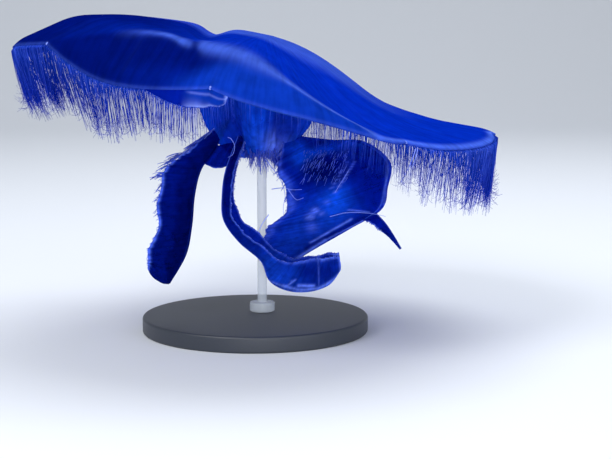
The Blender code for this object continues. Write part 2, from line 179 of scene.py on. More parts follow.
def make_profiles():
    """Radius and fall at every step of the arc, for every quarter degree round the bell."""
    azimuths = np.arange(PROFILE_TURNS) * 360 / PROFILE_TURNS
    shares = (np.arange(int(PROFILE_STEPS * PROFILE_REACH)) + 0.5) / PROFILE_STEPS
    slopes = np.radians(bell_slope(shares[None, :], azimuths[:, None] + 0 * shares[None, :]))
    step = BELL_ARC / PROFILE_STEPS
    start = np.zeros((PROFILE_TURNS, 1))
    radius = np.hstack([start, np.cumsum(np.cos(slopes), axis=1) * step])
    fall = np.hstack([start, np.cumsum(np.sin(slopes), axis=1) * step])
    return radius, fall


PROFILES = make_profiles()


def read_profile(table, share, azimuth):
    along = np.clip(share * PROFILE_STEPS, 0, table.shape[1] - 1.001)
    turn = (azimuth % 360) * PROFILE_TURNS / 360
    i, j = np.floor(turn).astype(int) % PROFILE_TURNS, np.floor(along).astype(int)
    u, v = turn - np.floor(turn), along - j
    k = (i + 1) % PROFILE_TURNS
    near = table[i, j] * (1 - v) + table[i, j + 1] * v
    far = table[k, j] * (1 - v) + table[k, j + 1] * v
    return near * (1 - u) + far * u


def pose(points):
    """Tips the level bell into its pose."""
    x, y, z = points[..., 0], points[..., 1], points[..., 2]
    pitch, roll = np.radians(PITCH + TWIST * x), math.radians(ROLL)
    y, z = y * np.cos(pitch) - z * np.sin(pitch), z * np.cos(pitch) + y * np.sin(pitch)
    x, z = x * math.cos(roll) + z * math.sin(roll), z * math.cos(roll) - x * math.sin(roll)
    return BELL_CENTRE + np.stack([x, y, z], axis=-1)


def bell_top(share, azimuth):
    share, azimuth = np.broadcast_arrays(np.asarray(share, float), np.asarray(azimuth, float))
    radius, fall = (read_profile(table, share, azimuth) for table in PROFILES)
    x, y = radius * np.cos(np.radians(azimuth)), radius * np.sin(np.radians(azimuth))
    furrow = FURROW_DEPTH * spot(x, FURROW_X, FURROW_HALF)
    z = APEX_RISE - fall - furrow * fade(np.abs(y), FURROW_NEAR, FURROW_FADE)
    return pose(np.stack([x, y, z], axis=-1))


def bell_normal(share, azimuth):
    share = np.maximum(share, APEX_SHARE)
    outward = bell_top(share + NORMAL_SHARE, azimuth) - bell_top(share - NORMAL_SHARE, azimuth)
    around = bell_top(share, azimuth + NORMAL_TURN) - bell_top(share, azimuth - NORMAL_TURN)
    return unit(np.cross(outward, around))


def jelly_thickness(share):
    return RIM_THICK + (APEX_THICK - RIM_THICK) * np.maximum(0, 1 - share * share) ** 1.5


def bell_under(share, azimuth, below=0.0):
    depth = jelly_thickness(np.asarray(share, float)) + below
    return bell_top(share, azimuth) - bell_normal(share, azimuth) * depth[..., None]


def margin_share(azimuth):
    across = ((azimuth - NOTCH_FIRST) / NOTCH_STEP) % 1.0
    return 1 - SCALLOP * np.abs(2 * across - 1) ** 4


def near_margin(azimuth, inset):
    """(share, middle of the jelly) at this share of the arc inside the margin."""
    share = margin_share(azimuth) - inset
    return share, (bell_top(share, azimuth) + bell_under(share, azimuth)) / 2


def way_out(share, azimuth, step):
    """The direction in which the skin runs outwards, measured over this share of the arc."""
    return unit(bell_top(share, azimuth) - bell_top(share - step, azimuth))


# ---- Meshes ----
STRAND_PATCH = 0.003  # side of a strand's patch on the unwrap
UNWRAP_RADIUS = 0.46  # of the bell's margin on the unwrap


def grid_faces(grids, rows, columns, joined):
    """Quads over grids of points that follow each other, each joined round across its columns or not."""
    row, column = np.arange(rows - 1)[:, None], np.arange(columns if joined else columns - 1)
    first, after = row * columns, (column + 1) % columns
    second = first + columns
    one = np.stack([first + column, first + after, second + after, second + column], -1).reshape(-1, 4)
    return (one[None] + (np.arange(grids) * rows * columns)[:, None, None]).reshape(-1, 4)


def new_mesh(name, points, material, joined=True):
    """A mesh over one grid of points, or over several. The last three sizes are rows, columns and 3."""
    rows, columns = points.shape[-3:-1]
    quads = grid_faces(points.size // (3 * rows * columns), rows, columns, joined)
    mesh = bpy.data.meshes.new(name)
    mesh.from_pydata(points.reshape(-1, 3).tolist(), [], quads.tolist())
    mesh.materials.append(material)
    return mesh


def close_up(mesh):
    """Closes its open ends, turns its faces outwards and shades it smooth."""
    solid = bmesh.new()
    solid.from_mesh(mesh)
    bmesh.ops.holes_fill(solid, edges=[edge for edge in solid.edges if edge.is_boundary], sides=0)
    bmesh.ops.recalc_face_normals(solid, faces=solid.faces)
    solid.to_mesh(mesh)
    solid.free()
    mesh.shade_smooth()


def add_object(name, data):
    holder = bpy.data.objects.new(name, data)
    bpy.context.scene.collection.objects.link(holder)
    return holder


def fill_layer(layer, key, values, shape):
    layer.data.foreach_set(key, np.broadcast_to(values, shape).astype(np.float32).ravel())


def add_mesh(name, points, material, colours, cover, uvs=None, lie=None):
    """A closed piece over grids of points. colours, cover, uvs and the lie of its grain are per point."""
    mesh, shape = new_mesh(name, points, material), points.shape[:-1]
    tint = np.ones((*shape, 4))
    tint[..., :3] = colours
    fill_layer(mesh.color_attributes.new("Tint", "FLOAT_COLOR", "POINT"), "color", tint, tint.shape)
    fill_layer(mesh.attributes.new("Cover", "FLOAT", "POINT"), "value", np.clip(cover, 0, 1), shape)
    if lie is not None:
        fill_layer(mesh.attributes.new("Lie", "FLOAT_VECTOR", "POINT"), "vector", lie, points.shape)
    if uvs is not None:
        corners = np.empty(len(mesh.loops), np.int32)
        mesh.loops.foreach_get("vertex_index", corners)
        uvs = uvs.reshape(-1, 2)[corners]
        fill_layer(mesh.uv_layers.new(name="OFBake"), "uv", uvs, uvs.shape)
    close_up(mesh)
    piece = add_object(name, mesh)
    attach(piece, "root")
    return piece


def tubes(paths, radii, sideways, sides):
    """The rings of points of many round strands. paths is strands x points x 3."""
    ahead = unit(np.gradient(paths, axis=1))
    sideways = np.broadcast_to(sideways, (len(paths), 3))[:, None]
    across = unit(sideways - ahead * (ahead * sideways).sum(-1, keepdims=True))
    up = np.cross(ahead, across)
    turns = np.arange(sides) * 2 * np.pi / sides
    ring = across[:, :, None] * np.cos(turns)[:, None] + up[:, :, None] * np.sin(turns)[:, None]
    return paths[:, :, None] + ring * np.broadcast_to(radii, paths.shape[:2])[:, :, None, None]


def add_strands(name, paths, radii, sideways, sides, material, colours, cover, roots=None):
    """Many round strands as one joined piece. roots has each strand's place on the unwrap."""
    uvs = None
    if roots is not None:
        patch = (np.linspace(0, STRAND_PATCH, count) for count in (paths.shape[1], sides))
        v, u = np.meshgrid(*patch, indexing="ij")
        uvs = roots[:, None, None] + np.stack([u, v], axis=-1)[None]
    return add_mesh(name, tubes(paths, radii, sideways, sides), material, colours, cover, uvs)


def sheet_normal(points):
    return unit(np.cross(np.gradient(points, axis=-3), np.gradient(points, axis=-2)))


def around_sheet(upper, lower):
    """The two skins of a sheet, as one closed loop of columns for each row."""
    return np.concatenate([upper, lower[..., ::-1, :]], axis=-2)


def add_sheet(name, middle, half, material, colours, cover, lie):
    """A thin sheet with this half thickness. colours, cover and lie are per point of its middle."""
    offset = sheet_normal(middle) * half
    points = around_sheet(middle + offset, middle - offset)
    cover = np.broadcast_to(cover, middle.shape[:-1])[..., None]
    colours, cover, lie = (around_sheet(values, values) for values in (colours, cover, lie))
    return add_mesh(name, points, material, colours, cover[..., 0], lie=lie)


def grain(*places):
    """The lie of the grain, from where each point is along three axes."""
    return np.stack(np.broadcast_arrays(*places), axis=-1)


def polar_uv(share, azimuth):
    turn = np.radians(azimuth)
    return 0.5 + UNWRAP_RADIUS * np.stack([share * np.cos(turn), share * np.sin(turn)], axis=-1)


def tinted(colour, towards, strength):
    """A colour per point, moved towards another by a strength per point."""
    return colour + (towards - colour) * np.clip(strength, 0, 1)[..., None]


def through(points, share):
    """The smooth curve through these points, in millimetres, at an array of shares, in metres."""
    points = np.array(points, float)
    along = np.clip(share, 0, 1) * (len(points) - 1)
    low = np.minimum(along.astype(int), len(points) - 2)
    t = (along - low)[..., None]
    before, a, b, after = (points[np.clip(low + k, 0, len(points) - 1)] for k in (-1, 0, 1, 2))
    bend = a * 2 + (b - before) * t + (before * 2 - a * 5 + b * 4 - after) * t**2
    return (bend + (a * 3 - before - b * 3 + after) * t**3) / 2 * MM


# ---- Materials ----
NOISE_RANGE = (0.3, 0.7)  # nearly all of a noise lies between these


def new_material(name):
    material = bpy.data.materials.new(name)
    material.use_nodes = True
    return material, material.node_tree.nodes["Principled BSDF"]


def add_shader_node(material, kind, inputs=(), **settings):
    """A new node. Each input is a number or colour to set, or a socket to link to it."""
    node = material.node_tree.nodes.new("ShaderNode" + kind)
    for key, value in settings.items():
        setattr(node, key, value)
    set_inputs(material, node, inputs)
    return node


def set_inputs(material, node, inputs):
    for key, value in dict(inputs).items():
        if isinstance(value, bpy.types.NodeSocket):
            material.node_tree.links.new(value, node.inputs[key])
        else:
            node.inputs[key].default_value = value


def noise_about_one(material, place, scale, contrast):
    """Noise that runs from 1 - contrast to 1 + contrast."""
    noise = add_shader_node(material, "TexNoise", {"Scale": scale, "Detail": 3, "Vector": place})
    span = add_shader_node(material, "MapRange", {
        "From Min": NOISE_RANGE[0], "From Max": NOISE_RANGE[1],
        "To Min": 1 - contrast, "To Max": 1 + contrast, "Value": noise.outputs["Fac"],
    })
    return span.outputs["Result"]


def flesh_material(name, roughness, mottle, streak, relief, subsurface):
    """Translucent tissue. Its colour, cover and the lie of its streaks come from the mesh.

    mottle and streak are (scale, contrast) of two noises; relief is the depth in metres that they give.
    """
    material, shader = new_material(name)
    tint, cover, lie = (
        add_shader_node(material, "Attribute", attribute_name=layer) for layer in ("Tint", "Cover", "Lie")
    )
    place = add_shader_node(material, "TexCoord").outputs["Object"]
    cloud = noise_about_one(material, place, *mottle)
    lines = noise_about_one(material, lie.outputs["Vector"], *streak)
    both = add_shader_node(material, "Math", {0: cloud, 1: lines}, operation="MULTIPLY").outputs["Value"]
    scaled = {0: tint.outputs["Color"], "Scale": both}
    shade = add_shader_node(material, "VectorMath", scaled, operation="SCALE")
    bumps = add_shader_node(material, "Bump", {"Strength": 0.4, "Distance": relief, "Height": both})
    set_inputs(material, shader, {
        "Base Color": shade.outputs["Vector"], "Normal": bumps.outputs["Normal"], "Roughness": roughness,
        "IOR": 1.34, "Specular IOR Level": 0.0, "Subsurface Weight": subsurface,
        "Subsurface Radius": (0.2, 0.4, 1.0), "Subsurface Scale": 0.004,
    })
    clear = add_shader_node(material, "BsdfTransparent", {"Color": GEL})
    mix = add_shader_node(material, "MixShader", {
        "Fac": cover.outputs["Fac"], 1: clear.outputs["BSDF"], 2: shader.outputs["BSDF"],
    })
    set_inputs(material, material.node_tree.nodes["Material Output"], {"Surface": mix.outputs["Shader"]})
    return material


# ---- The bell's skin ----
# Where its colours change: pairs of a start and a width, or of a middle and a width, for rise, fade and spot.
# They are metres along x, along y or past the crease, or shares of the arc or degrees where the name says so.
CANALS, CANAL_STEP, CANAL_SHADE = 16, 22.5, 0.0012
CANAL_SHARES_IN, CANAL_SHARES_OUT = (0.25, 0.1), (0.94, 0.03)
GONAD_SHADE, GONAD_OPENING_SOFT = 0.0026, 0.2
FLAP = (-0.0025, 0.005)
CROWN_BORDER, FLAP_BORDER = -0.028, 0.006  # x where the painted shade, navy, gives way to lit azure on the crown and on the flap
FLAP_BORDER_SHARE, FLAP_BORDER_LEAN = 0.70, 0.148  # further out than this share, the flap's border leans left
BORDER_WIDTH, BORDER_SPREAD, BORDER_SPREADS = 0.022, 0.060, (0.008, 0.035)  # wider far inside the crease
LIFT, LIFT_X = (-0.008, 0.020), (-0.125, 0.07)  # a painted light strip inside the crease
LEFT_BACK = (-0.01, 0.06)  # the painted shade on the left wing deepens towards the back
FLAP_LIT_X, FLAP_LIT_SHARES = (-0.085, 0.07), (0.84, 0.14)  # the flap is lighter near its margin
CROWN_Y, CROWN_X = (-0.048, 0.022), (-0.032, 0.020)  # the crown's painted sheen, in lavender, begins here
CROWN_END_Y, CROWN_END_X = (0.03, 0.05), (0.045, 0.06)
FURROW_END = (-0.029, 0.006)  # x where the band left of the furrow gives way to the one right of it
NEAR_BAND_X, NEAR_BAND_POWER = (-0.076, 0.032), 1.5  # the left band brightens over this stretch
NEAR_BAND_DROP, NEAR_BAND_BEND = (-0.075, 0.03), (-0.0445, 0.012)  # and moves inwards, then outwards
NEAR_BAND_WIDTHS = (0.005, 0.0035)  # inside and outside the crease
FAR_BAND_BROAD, FAR_BAND_END = (0.002, 0.025), (0.04, 0.02)  # the right band narrows, then moves outwards
FAR_BAND_WIDTHS = ((0.006, 0.010), (0.0022, 0.0040))  # inside and outside: where narrow, and what broad adds
FURROW_SHADE = (-0.0285, 0.0028)
BAND_LINE = 0.0011  # width of the painted highlight line in the right band
BACK_Y, BACK_SHIFT, BACK_SHIFT_X = 0.05, 0.045, (-0.03, 0.04)  # where the side turned away starts
BACK_GLOW_SHARE = 0.42  # it is lighter round the apex
MARGIN_LINE, MARGIN_ROLL = 0.0014, (0.0022, 0.0022)  # in from the margin: a thin painted highlight line, and one on a rolled edge
ROLL_TURNS_IN, ROLL_TURNS_OUT = (-66, 8), (4, 20)
BELL_GRAIN = (45, 45, 5)  # how close its streaks lie along three axes


def canal_shade(share, azimuth):
    """Where the radial canals show through the jelly."""
    turn = np.radians((azimuth - NOTCH_FIRST + CANAL_STEP / 2) % CANAL_STEP - CANAL_STEP / 2)
    ends = rise(share, *CANAL_SHARES_IN) * fade(share, *CANAL_SHARES_OUT)
    return bump(share * BELL_ARC * turn / CANAL_SHADE) * ends


def gonad_shade(share, azimuth):
    """Where the four horseshoes show through the jelly."""
    turn = np.radians(azimuth)
    shade = 0
    for middle in np.radians(GONAD_AZIMUTHS):
        out = share * np.cos(turn - middle) - GONAD_SHARE
        aside = share * np.sin(turn - middle)
        radius = np.hypot(out, aside)
        facing = out / np.maximum(radius, 1e-6)
        opening = rise(facing, -math.cos(math.radians(GONAD_OPENING)), GONAD_OPENING_SOFT)
        shade = shade + spot(radius * BELL_ARC, GONAD_RADIUS, GONAD_SHADE) * opening
    return shade


def side_shade_and_light(share, x, y, away, flap):
    """Painted shade and light: navy at the left, where the bell lies in shade, and azure at the right, where
    light falls, with painted light inside the crease and near the flap's margin.
    """
    leaning = FLAP_BORDER - FLAP_BORDER_LEAN * (share - FLAP_BORDER_SHARE)
    border = CROWN_BORDER * (1 - flap) + leaning * flap
    right = ease((x - border) / (BORDER_WIDTH + BORDER_SPREAD * rise(-away, *BORDER_SPREADS)) + 0.5)
    left = NAVY * (0.70 - 0.05 * rise(y, *LEFT_BACK) * (1 - flap))[..., None]
    left = tinted(left, BLUE * 0.62, 0.65 * spot(away, *LIFT) * rise(x, *LIFT_X) * (1 - flap))
    left = tinted(left, BLUE * 0.8, 0.55 * flap * rise(x, *FLAP_LIT_X) * rise(share, *FLAP_LIT_SHARES))
    return tinted(left, tinted(BLUE * 0.92, AZURE * 0.75, 0.90 * flap), right)


def crease_highlight(colour, x, y, away):
    """A painted highlight, the lavender band along the front crease, in two stretches with the furrow
    between them.
    """
    beyond = rise(x, *FURROW_END)
    off = away + 0.004 * rise(x, *NEAR_BAND_DROP) - 0.006 * rise(x, *NEAR_BAND_BEND)
    begun = np.clip((x - NEAR_BAND_X[0]) / NEAR_BAND_X[1], 0, 1) ** NEAR_BAND_POWER
    near = 1.15 * begun * bump(off / np.where(off < 0, *NEAR_BAND_WIDTHS))
    broad = fade(x, *FAR_BAND_BROAD)
    off = away - 0.002 * fade(x, *FAR_BAND_END)
    inside, outside = (narrow + extra * broad for narrow, extra in FAR_BAND_WIDTHS)
    far = bump(off / np.where(off < 0, inside, outside))
    band = (near * (1 - beyond) + far * beyond) * (1 - 0.85 * spot(x, *FURROW_SHADE))
    colour = tinted(colour, LAVENDER, band * np.where(y < 0, 1.0, 0.5))
    line = beyond * bump(off / BAND_LINE) * (1 - broad) * (y < 0)
    return tinted(colour, LAVENDER * 1.3, 0.8 * line)


def bell_tint(share, azimuth, points):
    """Colour and cover of the bell, with its painted shade, sheen and highlights."""
    x, y = points[..., 0], points[..., 1]
    away = (share - crease_share(azimuth)) * BELL_ARC  # past the crease
    flap = rise(away, *FLAP)
    colour = side_shade_and_light(share, x, y, away, flap)
    # crown: a painted lavender sheen over the top of the bell
    crown = rise(y, *CROWN_Y) * rise(x, *CROWN_X) * fade(x, *CROWN_END_X) * fade(y, *CROWN_END_Y)
    colour = crease_highlight(tinted(colour, LAVENDER, 0.75 * crown), x, y, away)
    turned_away = rise(y, -BACK_SHIFT * fade(x, *BACK_SHIFT_X), BACK_Y)
    plain = tinted(BLUE * 0.9, LAVENDER * 1.2, 0.6 * bump(share / BACK_GLOW_SHARE))
    colour = tinted(colour, plain, turned_away)
    colour = tinted(colour, LAVENDER * 1.3, (0.02 + 0.53 * turned_away) * canal_shade(share, azimuth))
    colour = tinted(colour, VIOLET * 1.2, 0.68 * turned_away * gonad_shade(share, azimuth))
    # The margin carries a painted highlight, a thin line all round and more on its rolled stretch; the cover is
    # a little denser under the crown's painted sheen.
    inside = (margin_share(azimuth) - share) * BELL_ARC
    rolled = rise(signed(azimuth), *ROLL_TURNS_IN) * fade(signed(azimuth), *ROLL_TURNS_OUT)
    edge = 0.35 * bump(inside / MARGIN_LINE) + rolled * spot(inside, *MARGIN_ROLL)
    return tinted(colour, LAVENDER * 1.35, edge), 0.90 + 0.04 * crown


def build_bell(material):
    azimuths = np.arange(SKIN_AZIMUTHS) * 360 / SKIN_AZIMUTHS
    shares = np.linspace(0, 1, SKIN_SHARES) ** SKIN_CROWDING
    shares[0] = SKIN_FIRST
    azimuth, share = np.meshgrid(azimuths, shares)
    share = share * margin_share(azimuth)
    normal = bell_normal(share, azimuth)
    surface = bell_top(share, azimuth)
    top = surface - normal * SKIN_INSET
    under = surface - normal * (jelly_thickness(share) - SKIN_INSET)[..., None]
    colour, cover = bell_tint(share, azimuth, top)
    turn = np.radians(azimuth)
    lie = grain(np.cos(turn), np.sin(turn), share) * np.array(BELL_GRAIN)
    skins = ((top, under), (colour, colour * 0.9), (cover, cover), (lie, lie))
    points, colours, cover, lie = (np.concatenate([upper, lower[::-1]]) for upper, lower in skins)
    piece = add_mesh("bell_skin", points, material, colours, cover, lie=lie)
    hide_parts("bell_dome", *[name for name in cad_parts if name.startswith("lobe_")])


# ---- The lip of the folded flap, at the front notch ----
CURL_AZIMUTHS = (-113.0, -111.0, -107.0, -103.0, -99.0, -96.0, -94.6, -94.0)
CURL_DROPS = (0.0002, 0.0022, 0.0070, 0.0100, 0.0104, 0.0080, 0.0050, 0.0004)
CURL_ROWS, CURL_COLUMNS = 140, 28
CURL_HALF, CURL_SLACK = 0.00028, 1.25  # half its thickness, and its length for each metre of drop
CURL_START, CURL_ROLL = 25, 120  # degrees below its way out at the root, and how much further it rolls
CURL_BRIGHT = (0.46, 0.14)  # share of its length where its painted shade, navy, gives way to lit azure
MARGIN_INSET = 0.004  # share of the arc inside the margin where the lip and the fringe hang


def margin_drop(azimuth):
    """How far the lip hangs below the margin."""
    return np.interp(signed(azimuth), CURL_AZIMUTHS, CURL_DROPS)


def curl_tint(along, across):
    """Painted shade and highlights: navy, then lit azure, with a painted highlight on the roll at its lower
    edge, on a fold across it and at its end.
    """
    bright = rise(along, *CURL_BRIGHT)
    roll = 1.2 * bump((across - 0.92) / (0.30 - 0.20 * rise(along, 0.6, 0.3)))
    fold = 0.4 * rise(along, 0.5, 0.1) * spot(across, 0.10 + 0.6 * (along - CURL_BRIGHT[0]), 0.05)
    end = spot(along, 0.985, 0.02)
    colour = tinted(NAVY * 1.4, AZURE * 0.7, bright + 0 * across)
    return tinted(colour, PALE * 0.8, bright * (roll + fold + end) + 0.3 * spot(across, 1, 0.08))


def build_margin_curl(material):
    """The lip of the folded flap that hangs down and rolls under at the front notch."""
    azimuth = np.linspace(CURL_AZIMUTHS[0], CURL_AZIMUTHS[-1], CURL_ROWS)
    along = np.linspace(0, 1, CURL_ROWS)[:, None]
    across = np.linspace(0, 1, CURL_COLUMNS + 1)[None]
    share, edge = near_margin(azimuth, MARGIN_INSET)
    outward = unit(edge - bell_top(share - 0.02, azimuth))
    roll = np.radians(CURL_START + CURL_ROLL * ease(np.linspace(0, 1, CURL_COLUMNS)))[None, :, None]
    step = outward[:, None] * np.cos(roll) * 0.5 + DOWN * np.sin(roll)
    path = np.cumsum(step, axis=1) * (margin_drop(azimuth)[:, None, None] / CURL_COLUMNS) * CURL_SLACK
    middle = np.concatenate([edge[:, None], edge[:, None] + path], axis=1)
    colour = curl_tint(along, across)
    piece = add_sheet("margin_curl", middle, CURL_HALF, material, colour, 0.88, grain(along * 8, across, 0))


# ---- The fringe of tentacles ----
TENTACLES_PER_DEGREE = 11
TENTACLE_ROOT, TENTACLE_TIP = 0.00016, 0.00008  # radii
TENTACLE_POINTS, TENTACLE_SIDES = 16, 3
TENTACLE_HANG = np.array([  # length, lean towards +X, outward flick of the tip, at each notch
    (0.046, -0.20, 0.02),
    (0.042, -0.06, 0.0),
    (0.036, 0.0, 0.0),
    (0.040, 0.14, 0.0),
    (0.048, 0.40, 0.05),
    (0.040, 0.24, 0.04),
    (0.023, 0.02, 0.0),
    (0.034, -0.10, 0.0),
])
TENTACLE_TURN = 0.12  # share of its length over which a strand turns from outwards to down
TENTACLE_SHARES = (0.40, 1.0)  # its shortest and longest, as shares of the length there
CURLED_SHARE, CURLED_FROM = 0.45, 0.72  # how many strands curl at the tip, and from where on them
CURLED_BY = (0.8, 2.8)  # radians
SPARSE_TURN, SPARSE_TURN_RIGHT = (-84, 13), (-62, 10)  # in front the strands are few, short and thin
BRIGHT_TURN = (-24, 9)  # the brightest hang at the right end


def sparseness(azimuth):
    turn = signed(azimuth)
    return np.minimum(spot(turn, *SPARSE_TURN) + 0.6 * spot(turn, *SPARSE_TURN_RIGHT), 1)


def strand_azimuths(first_azimuth, span):
    """Where strands hang along part of the margin."""
    count = int(TENTACLES_PER_DEGREE * span)
    azimuth = first_azimuth + (np.arange(count) + random.uniform(0.1, 0.9, count)) * span / count
    return azimuth[random.uniform(0, 1, count) > 0.75 * sparseness(azimuth)]


def strand_paths(azimuth, root, outward, along):
    """The strands' middle lines: outwards at the root, then down in one sweep, some with a curled tip."""
    count = len(azimuth)
    length, lean, flick = np.moveaxis(at_azimuth(TENTACLE_HANG, azimuth), -1, 0)
    clump = 0.08 * np.sin(azimuth * 0.9) + 0.06 * np.sin(azimuth * 2.3 + 1)
    length = length * np.clip(0.90 + clump + random.uniform(-0.28, 0.10, count), *TENTACLE_SHARES)
    length = length * (1 - 0.55 * sparseness(azimuth))
    lean = lean + 0.05 * np.sin(azimuth * 0.31) + random.normal(0, 0.03, count)
    depth_lean = 0.03 * np.sin(np.radians(azimuth)) + random.normal(0, 0.05, count)
    middle = (along[1:] + along[:-1]) / 2
    hang = grain(lean[:, None] + flick[:, None] * middle**2 * 2, depth_lean[:, None], -1.0)
    wave = random.uniform(0, 2 * np.pi, (count, 2))
    strength = random.uniform(0.01, 0.07, (count, 2))
    for axis in (0, 1):
        one, other = wave[:, axis:axis + 1], wave[:, 1 - axis:2 - axis]
        waves = np.sin(middle * 8 + one) + 0.5 * np.sin(middle * 19 + other)
        hang[..., axis] += strength[:, axis:axis + 1] * waves
    curl = random.uniform(*CURLED_BY, count) * (random.uniform(0, 1, count) < CURLED_SHARE)
    curl = (curl * random.choice([-1, 1], count))[:, None] * rise(middle, CURLED_FROM, 1 - CURLED_FROM)
    sway = unit(random.normal(0, 1, (count, 3)) * np.array([1, 0.5, 0.2]))
    hang = unit(hang) * np.cos(curl)[..., None] + sway[:, None] * np.sin(curl)[..., None]
    turned = ease(middle / TENTACLE_TURN)[None, :, None]
    direction = unit(outward[:, None] * (1 - turned) + hang * turned)
    steps = direction * (length[:, None] * np.diff(along))[..., None]
    return np.concatenate([root[:, None], root[:, None] + np.cumsum(steps, axis=1)], axis=1)


def build_tentacles(name, first_azimuth, span, material):
    """One joined mesh of the fine strands along part of the margin."""
    azimuth = strand_azimuths(first_azimuth, span)
    count = len(azimuth)
    share, root = near_margin(azimuth, MARGIN_INSET)
    root[:, 2] -= 0.8 * margin_drop(azimuth)
    outward = way_out(share, azimuth, 0.02)
    sideways = unit(np.cross(outward, bell_normal(share, azimuth)))
    along = np.linspace(0, 1, TENTACLE_POINTS)
    paths = strand_paths(azimuth, root, outward, along)
    beads = 1 + 0.15 * np.sin(along * 45)[None] * random.uniform(0, 1, (count, 1))
    radii = (TENTACLE_ROOT + (TENTACLE_TIP - TENTACLE_ROOT) * along)[None] * beads
    radii = radii * random.uniform(0.6, 1.3, (count, 1)) * (1 - 0.5 * sparseness(azimuth))[:, None]
    bright = random.uniform(0, 1, count) ** (3 - 2 * spot(signed(azimuth), *BRIGHT_TURN))
    bright = bright[:, None, None] * (1 - 0.3 * along)[None, :, None]
    cover = (0.72 - 0.37 * along)[:, None]
    piece = add_strands(name, paths, radii, sideways, TENTACLE_SIDES, material,
                        tinted(AZURE, BRIGHT, bright), cover, polar_uv(share, azimuth))


# ---- Canals, along the lower skin ----
CANAL_RADIUS, CANAL_SUNK, CANAL_POINTS, CANAL_SIDES = 0.00034, 0.00015, 40, 6
CANAL_START, CANAL_END = 0.30, 0.965  # shares of the arc
CANAL_BRANCHES = ((0, 8, 0.44), (3.2, 4.2, 0.62), (6.5, 11.5, 0.68))  # degrees aside at both ends, start
CANAL_TINT, CANAL_COVER, CANAL_WIGGLE = LAVENDER * 1.1, 0.8, 0.25  # degrees
RING_INSET, RING_POINTS, RING_PLACE = 0.035, 721, (0.5, 0.97)  # its place on the unwrap


def build_canals(material):
    """Sixteen radial canals, every other one branched, and the ring that they end in."""
    twigs = []
    for i in range(CANALS):
        trunk = NOTCH_FIRST + i * CANAL_STEP
        twigs.append((trunk, trunk, CANAL_START))
        for side in (-1, 1) if i % 2 == 0 else ():
            for start, end, first in CANAL_BRANCHES:
                twigs.append((trunk + side * start, trunk + side * end, first))
    start, end, first = (np.array(part)[:, None] for part in zip(*twigs))
    t = np.linspace(0, 1, CANAL_POINTS)
    azimuth = start + (end - start) * ease(t) + CANAL_WIGGLE * np.sin(t * 9 + start)
    share = first + (CANAL_END - first) * t
    paths = bell_under(share, azimuth, -CANAL_SUNK)
    radii = CANAL_RADIUS * (1.5 - share / 1.2)
    sideways = bell_normal(share[:, 0], azimuth[:, 0])
    piece = add_strands("radial_canals", paths, radii, sideways, CANAL_SIDES, material,
                        CANAL_TINT, CANAL_COVER, polar_uv(share[:, 0], azimuth[:, 0]))
    azimuth = np.linspace(0, 360, RING_POINTS)
    paths = bell_under(margin_share(azimuth) - RING_INSET, azimuth, -CANAL_SUNK)[None]
    piece = add_strands("ring_canal", paths, CANAL_RADIUS, (0, 0, 1), CANAL_SIDES, material,
                        CANAL_TINT, CANAL_COVER, np.array([RING_PLACE]))


# ---- Sense organs ----
RHOPALIUM = (0.0009, 0.0014, 0.0010)  # half sizes: along the margin, outward, up
RHOPALIUM_INSET = 0.006
BALL_ROWS, BALL_SIDES, BALL_HOLE = 12, 16, 0.05  # the hole's half angle at each pole, in radians


def ball():
    """Points of a unit ball, pole to pole."""
    fall = np.linspace(BALL_HOLE, np.pi - BALL_HOLE, BALL_ROWS)[:, None]
    turn = np.arange(BALL_SIDES) * 2 * np.pi / BALL_SIDES
    return grain(np.sin(fall) * np.cos(turn), np.sin(fall) * np.sin(turn), np.cos(fall))


def build_rhopalia(material):
    """A small pale knob in each notch of the margin."""
    azimuth = NOTCH_FIRST + np.arange(len(NOTCHES)) * NOTCH_STEP
    share, centre = near_margin(azimuth, RHOPALIUM_INSET)
    outward, normal = way_out(share, azimuth, 0.03), bell_normal(share, azimuth)
    axes = np.stack([np.cross(outward, normal), outward, normal], axis=1) * np.array(RHOPALIUM)[:, None]
    points = centre[:, None, None] + np.einsum("ijk,nkl->nijl", ball(), axes)
    piece = add_mesh("rhopalia", points, material, PALE * 0.8, 0.95)


# ---- The mouth's stalk ----
# Heights run from 0 at the bell to 1 inside the mouth, and levels are metres above the floor.
BROW_TURN, BROW_LEVEL, BROW_SLANT, BROW_HALF = -0.95, 0.119, 14, 0.009  # the lobe right of the mouth, with a painted highlight
BROW_SHAPE, BROW_HIGHLIGHT = (0.34, 0.1145), (0.40, 0.115)  # its width in radians and middle level, for its shape and for its painted highlight
BROW_DEPTH, GROOVE_DEPTH, RUFFLE_DEPTH, RIM_WAVE = 0.0055, 0.20, 0.0016, 0.0010
STALK_INSET, STALK_ROOTED = 0.0006, 0.0006  # its skin lies inside its solid, and its roof inside the bell
WALL_ROWS, ROOF_ROWS = 110, 14


def brow(turn, level, width, middle):
    """Where the pale lobe lies. It slants round the stalk."""
    aside = turn - BROW_TURN + (level - BROW_LEVEL) * BROW_SLANT
    return bump(aside / width) * spot(level, middle, BROW_HALF)


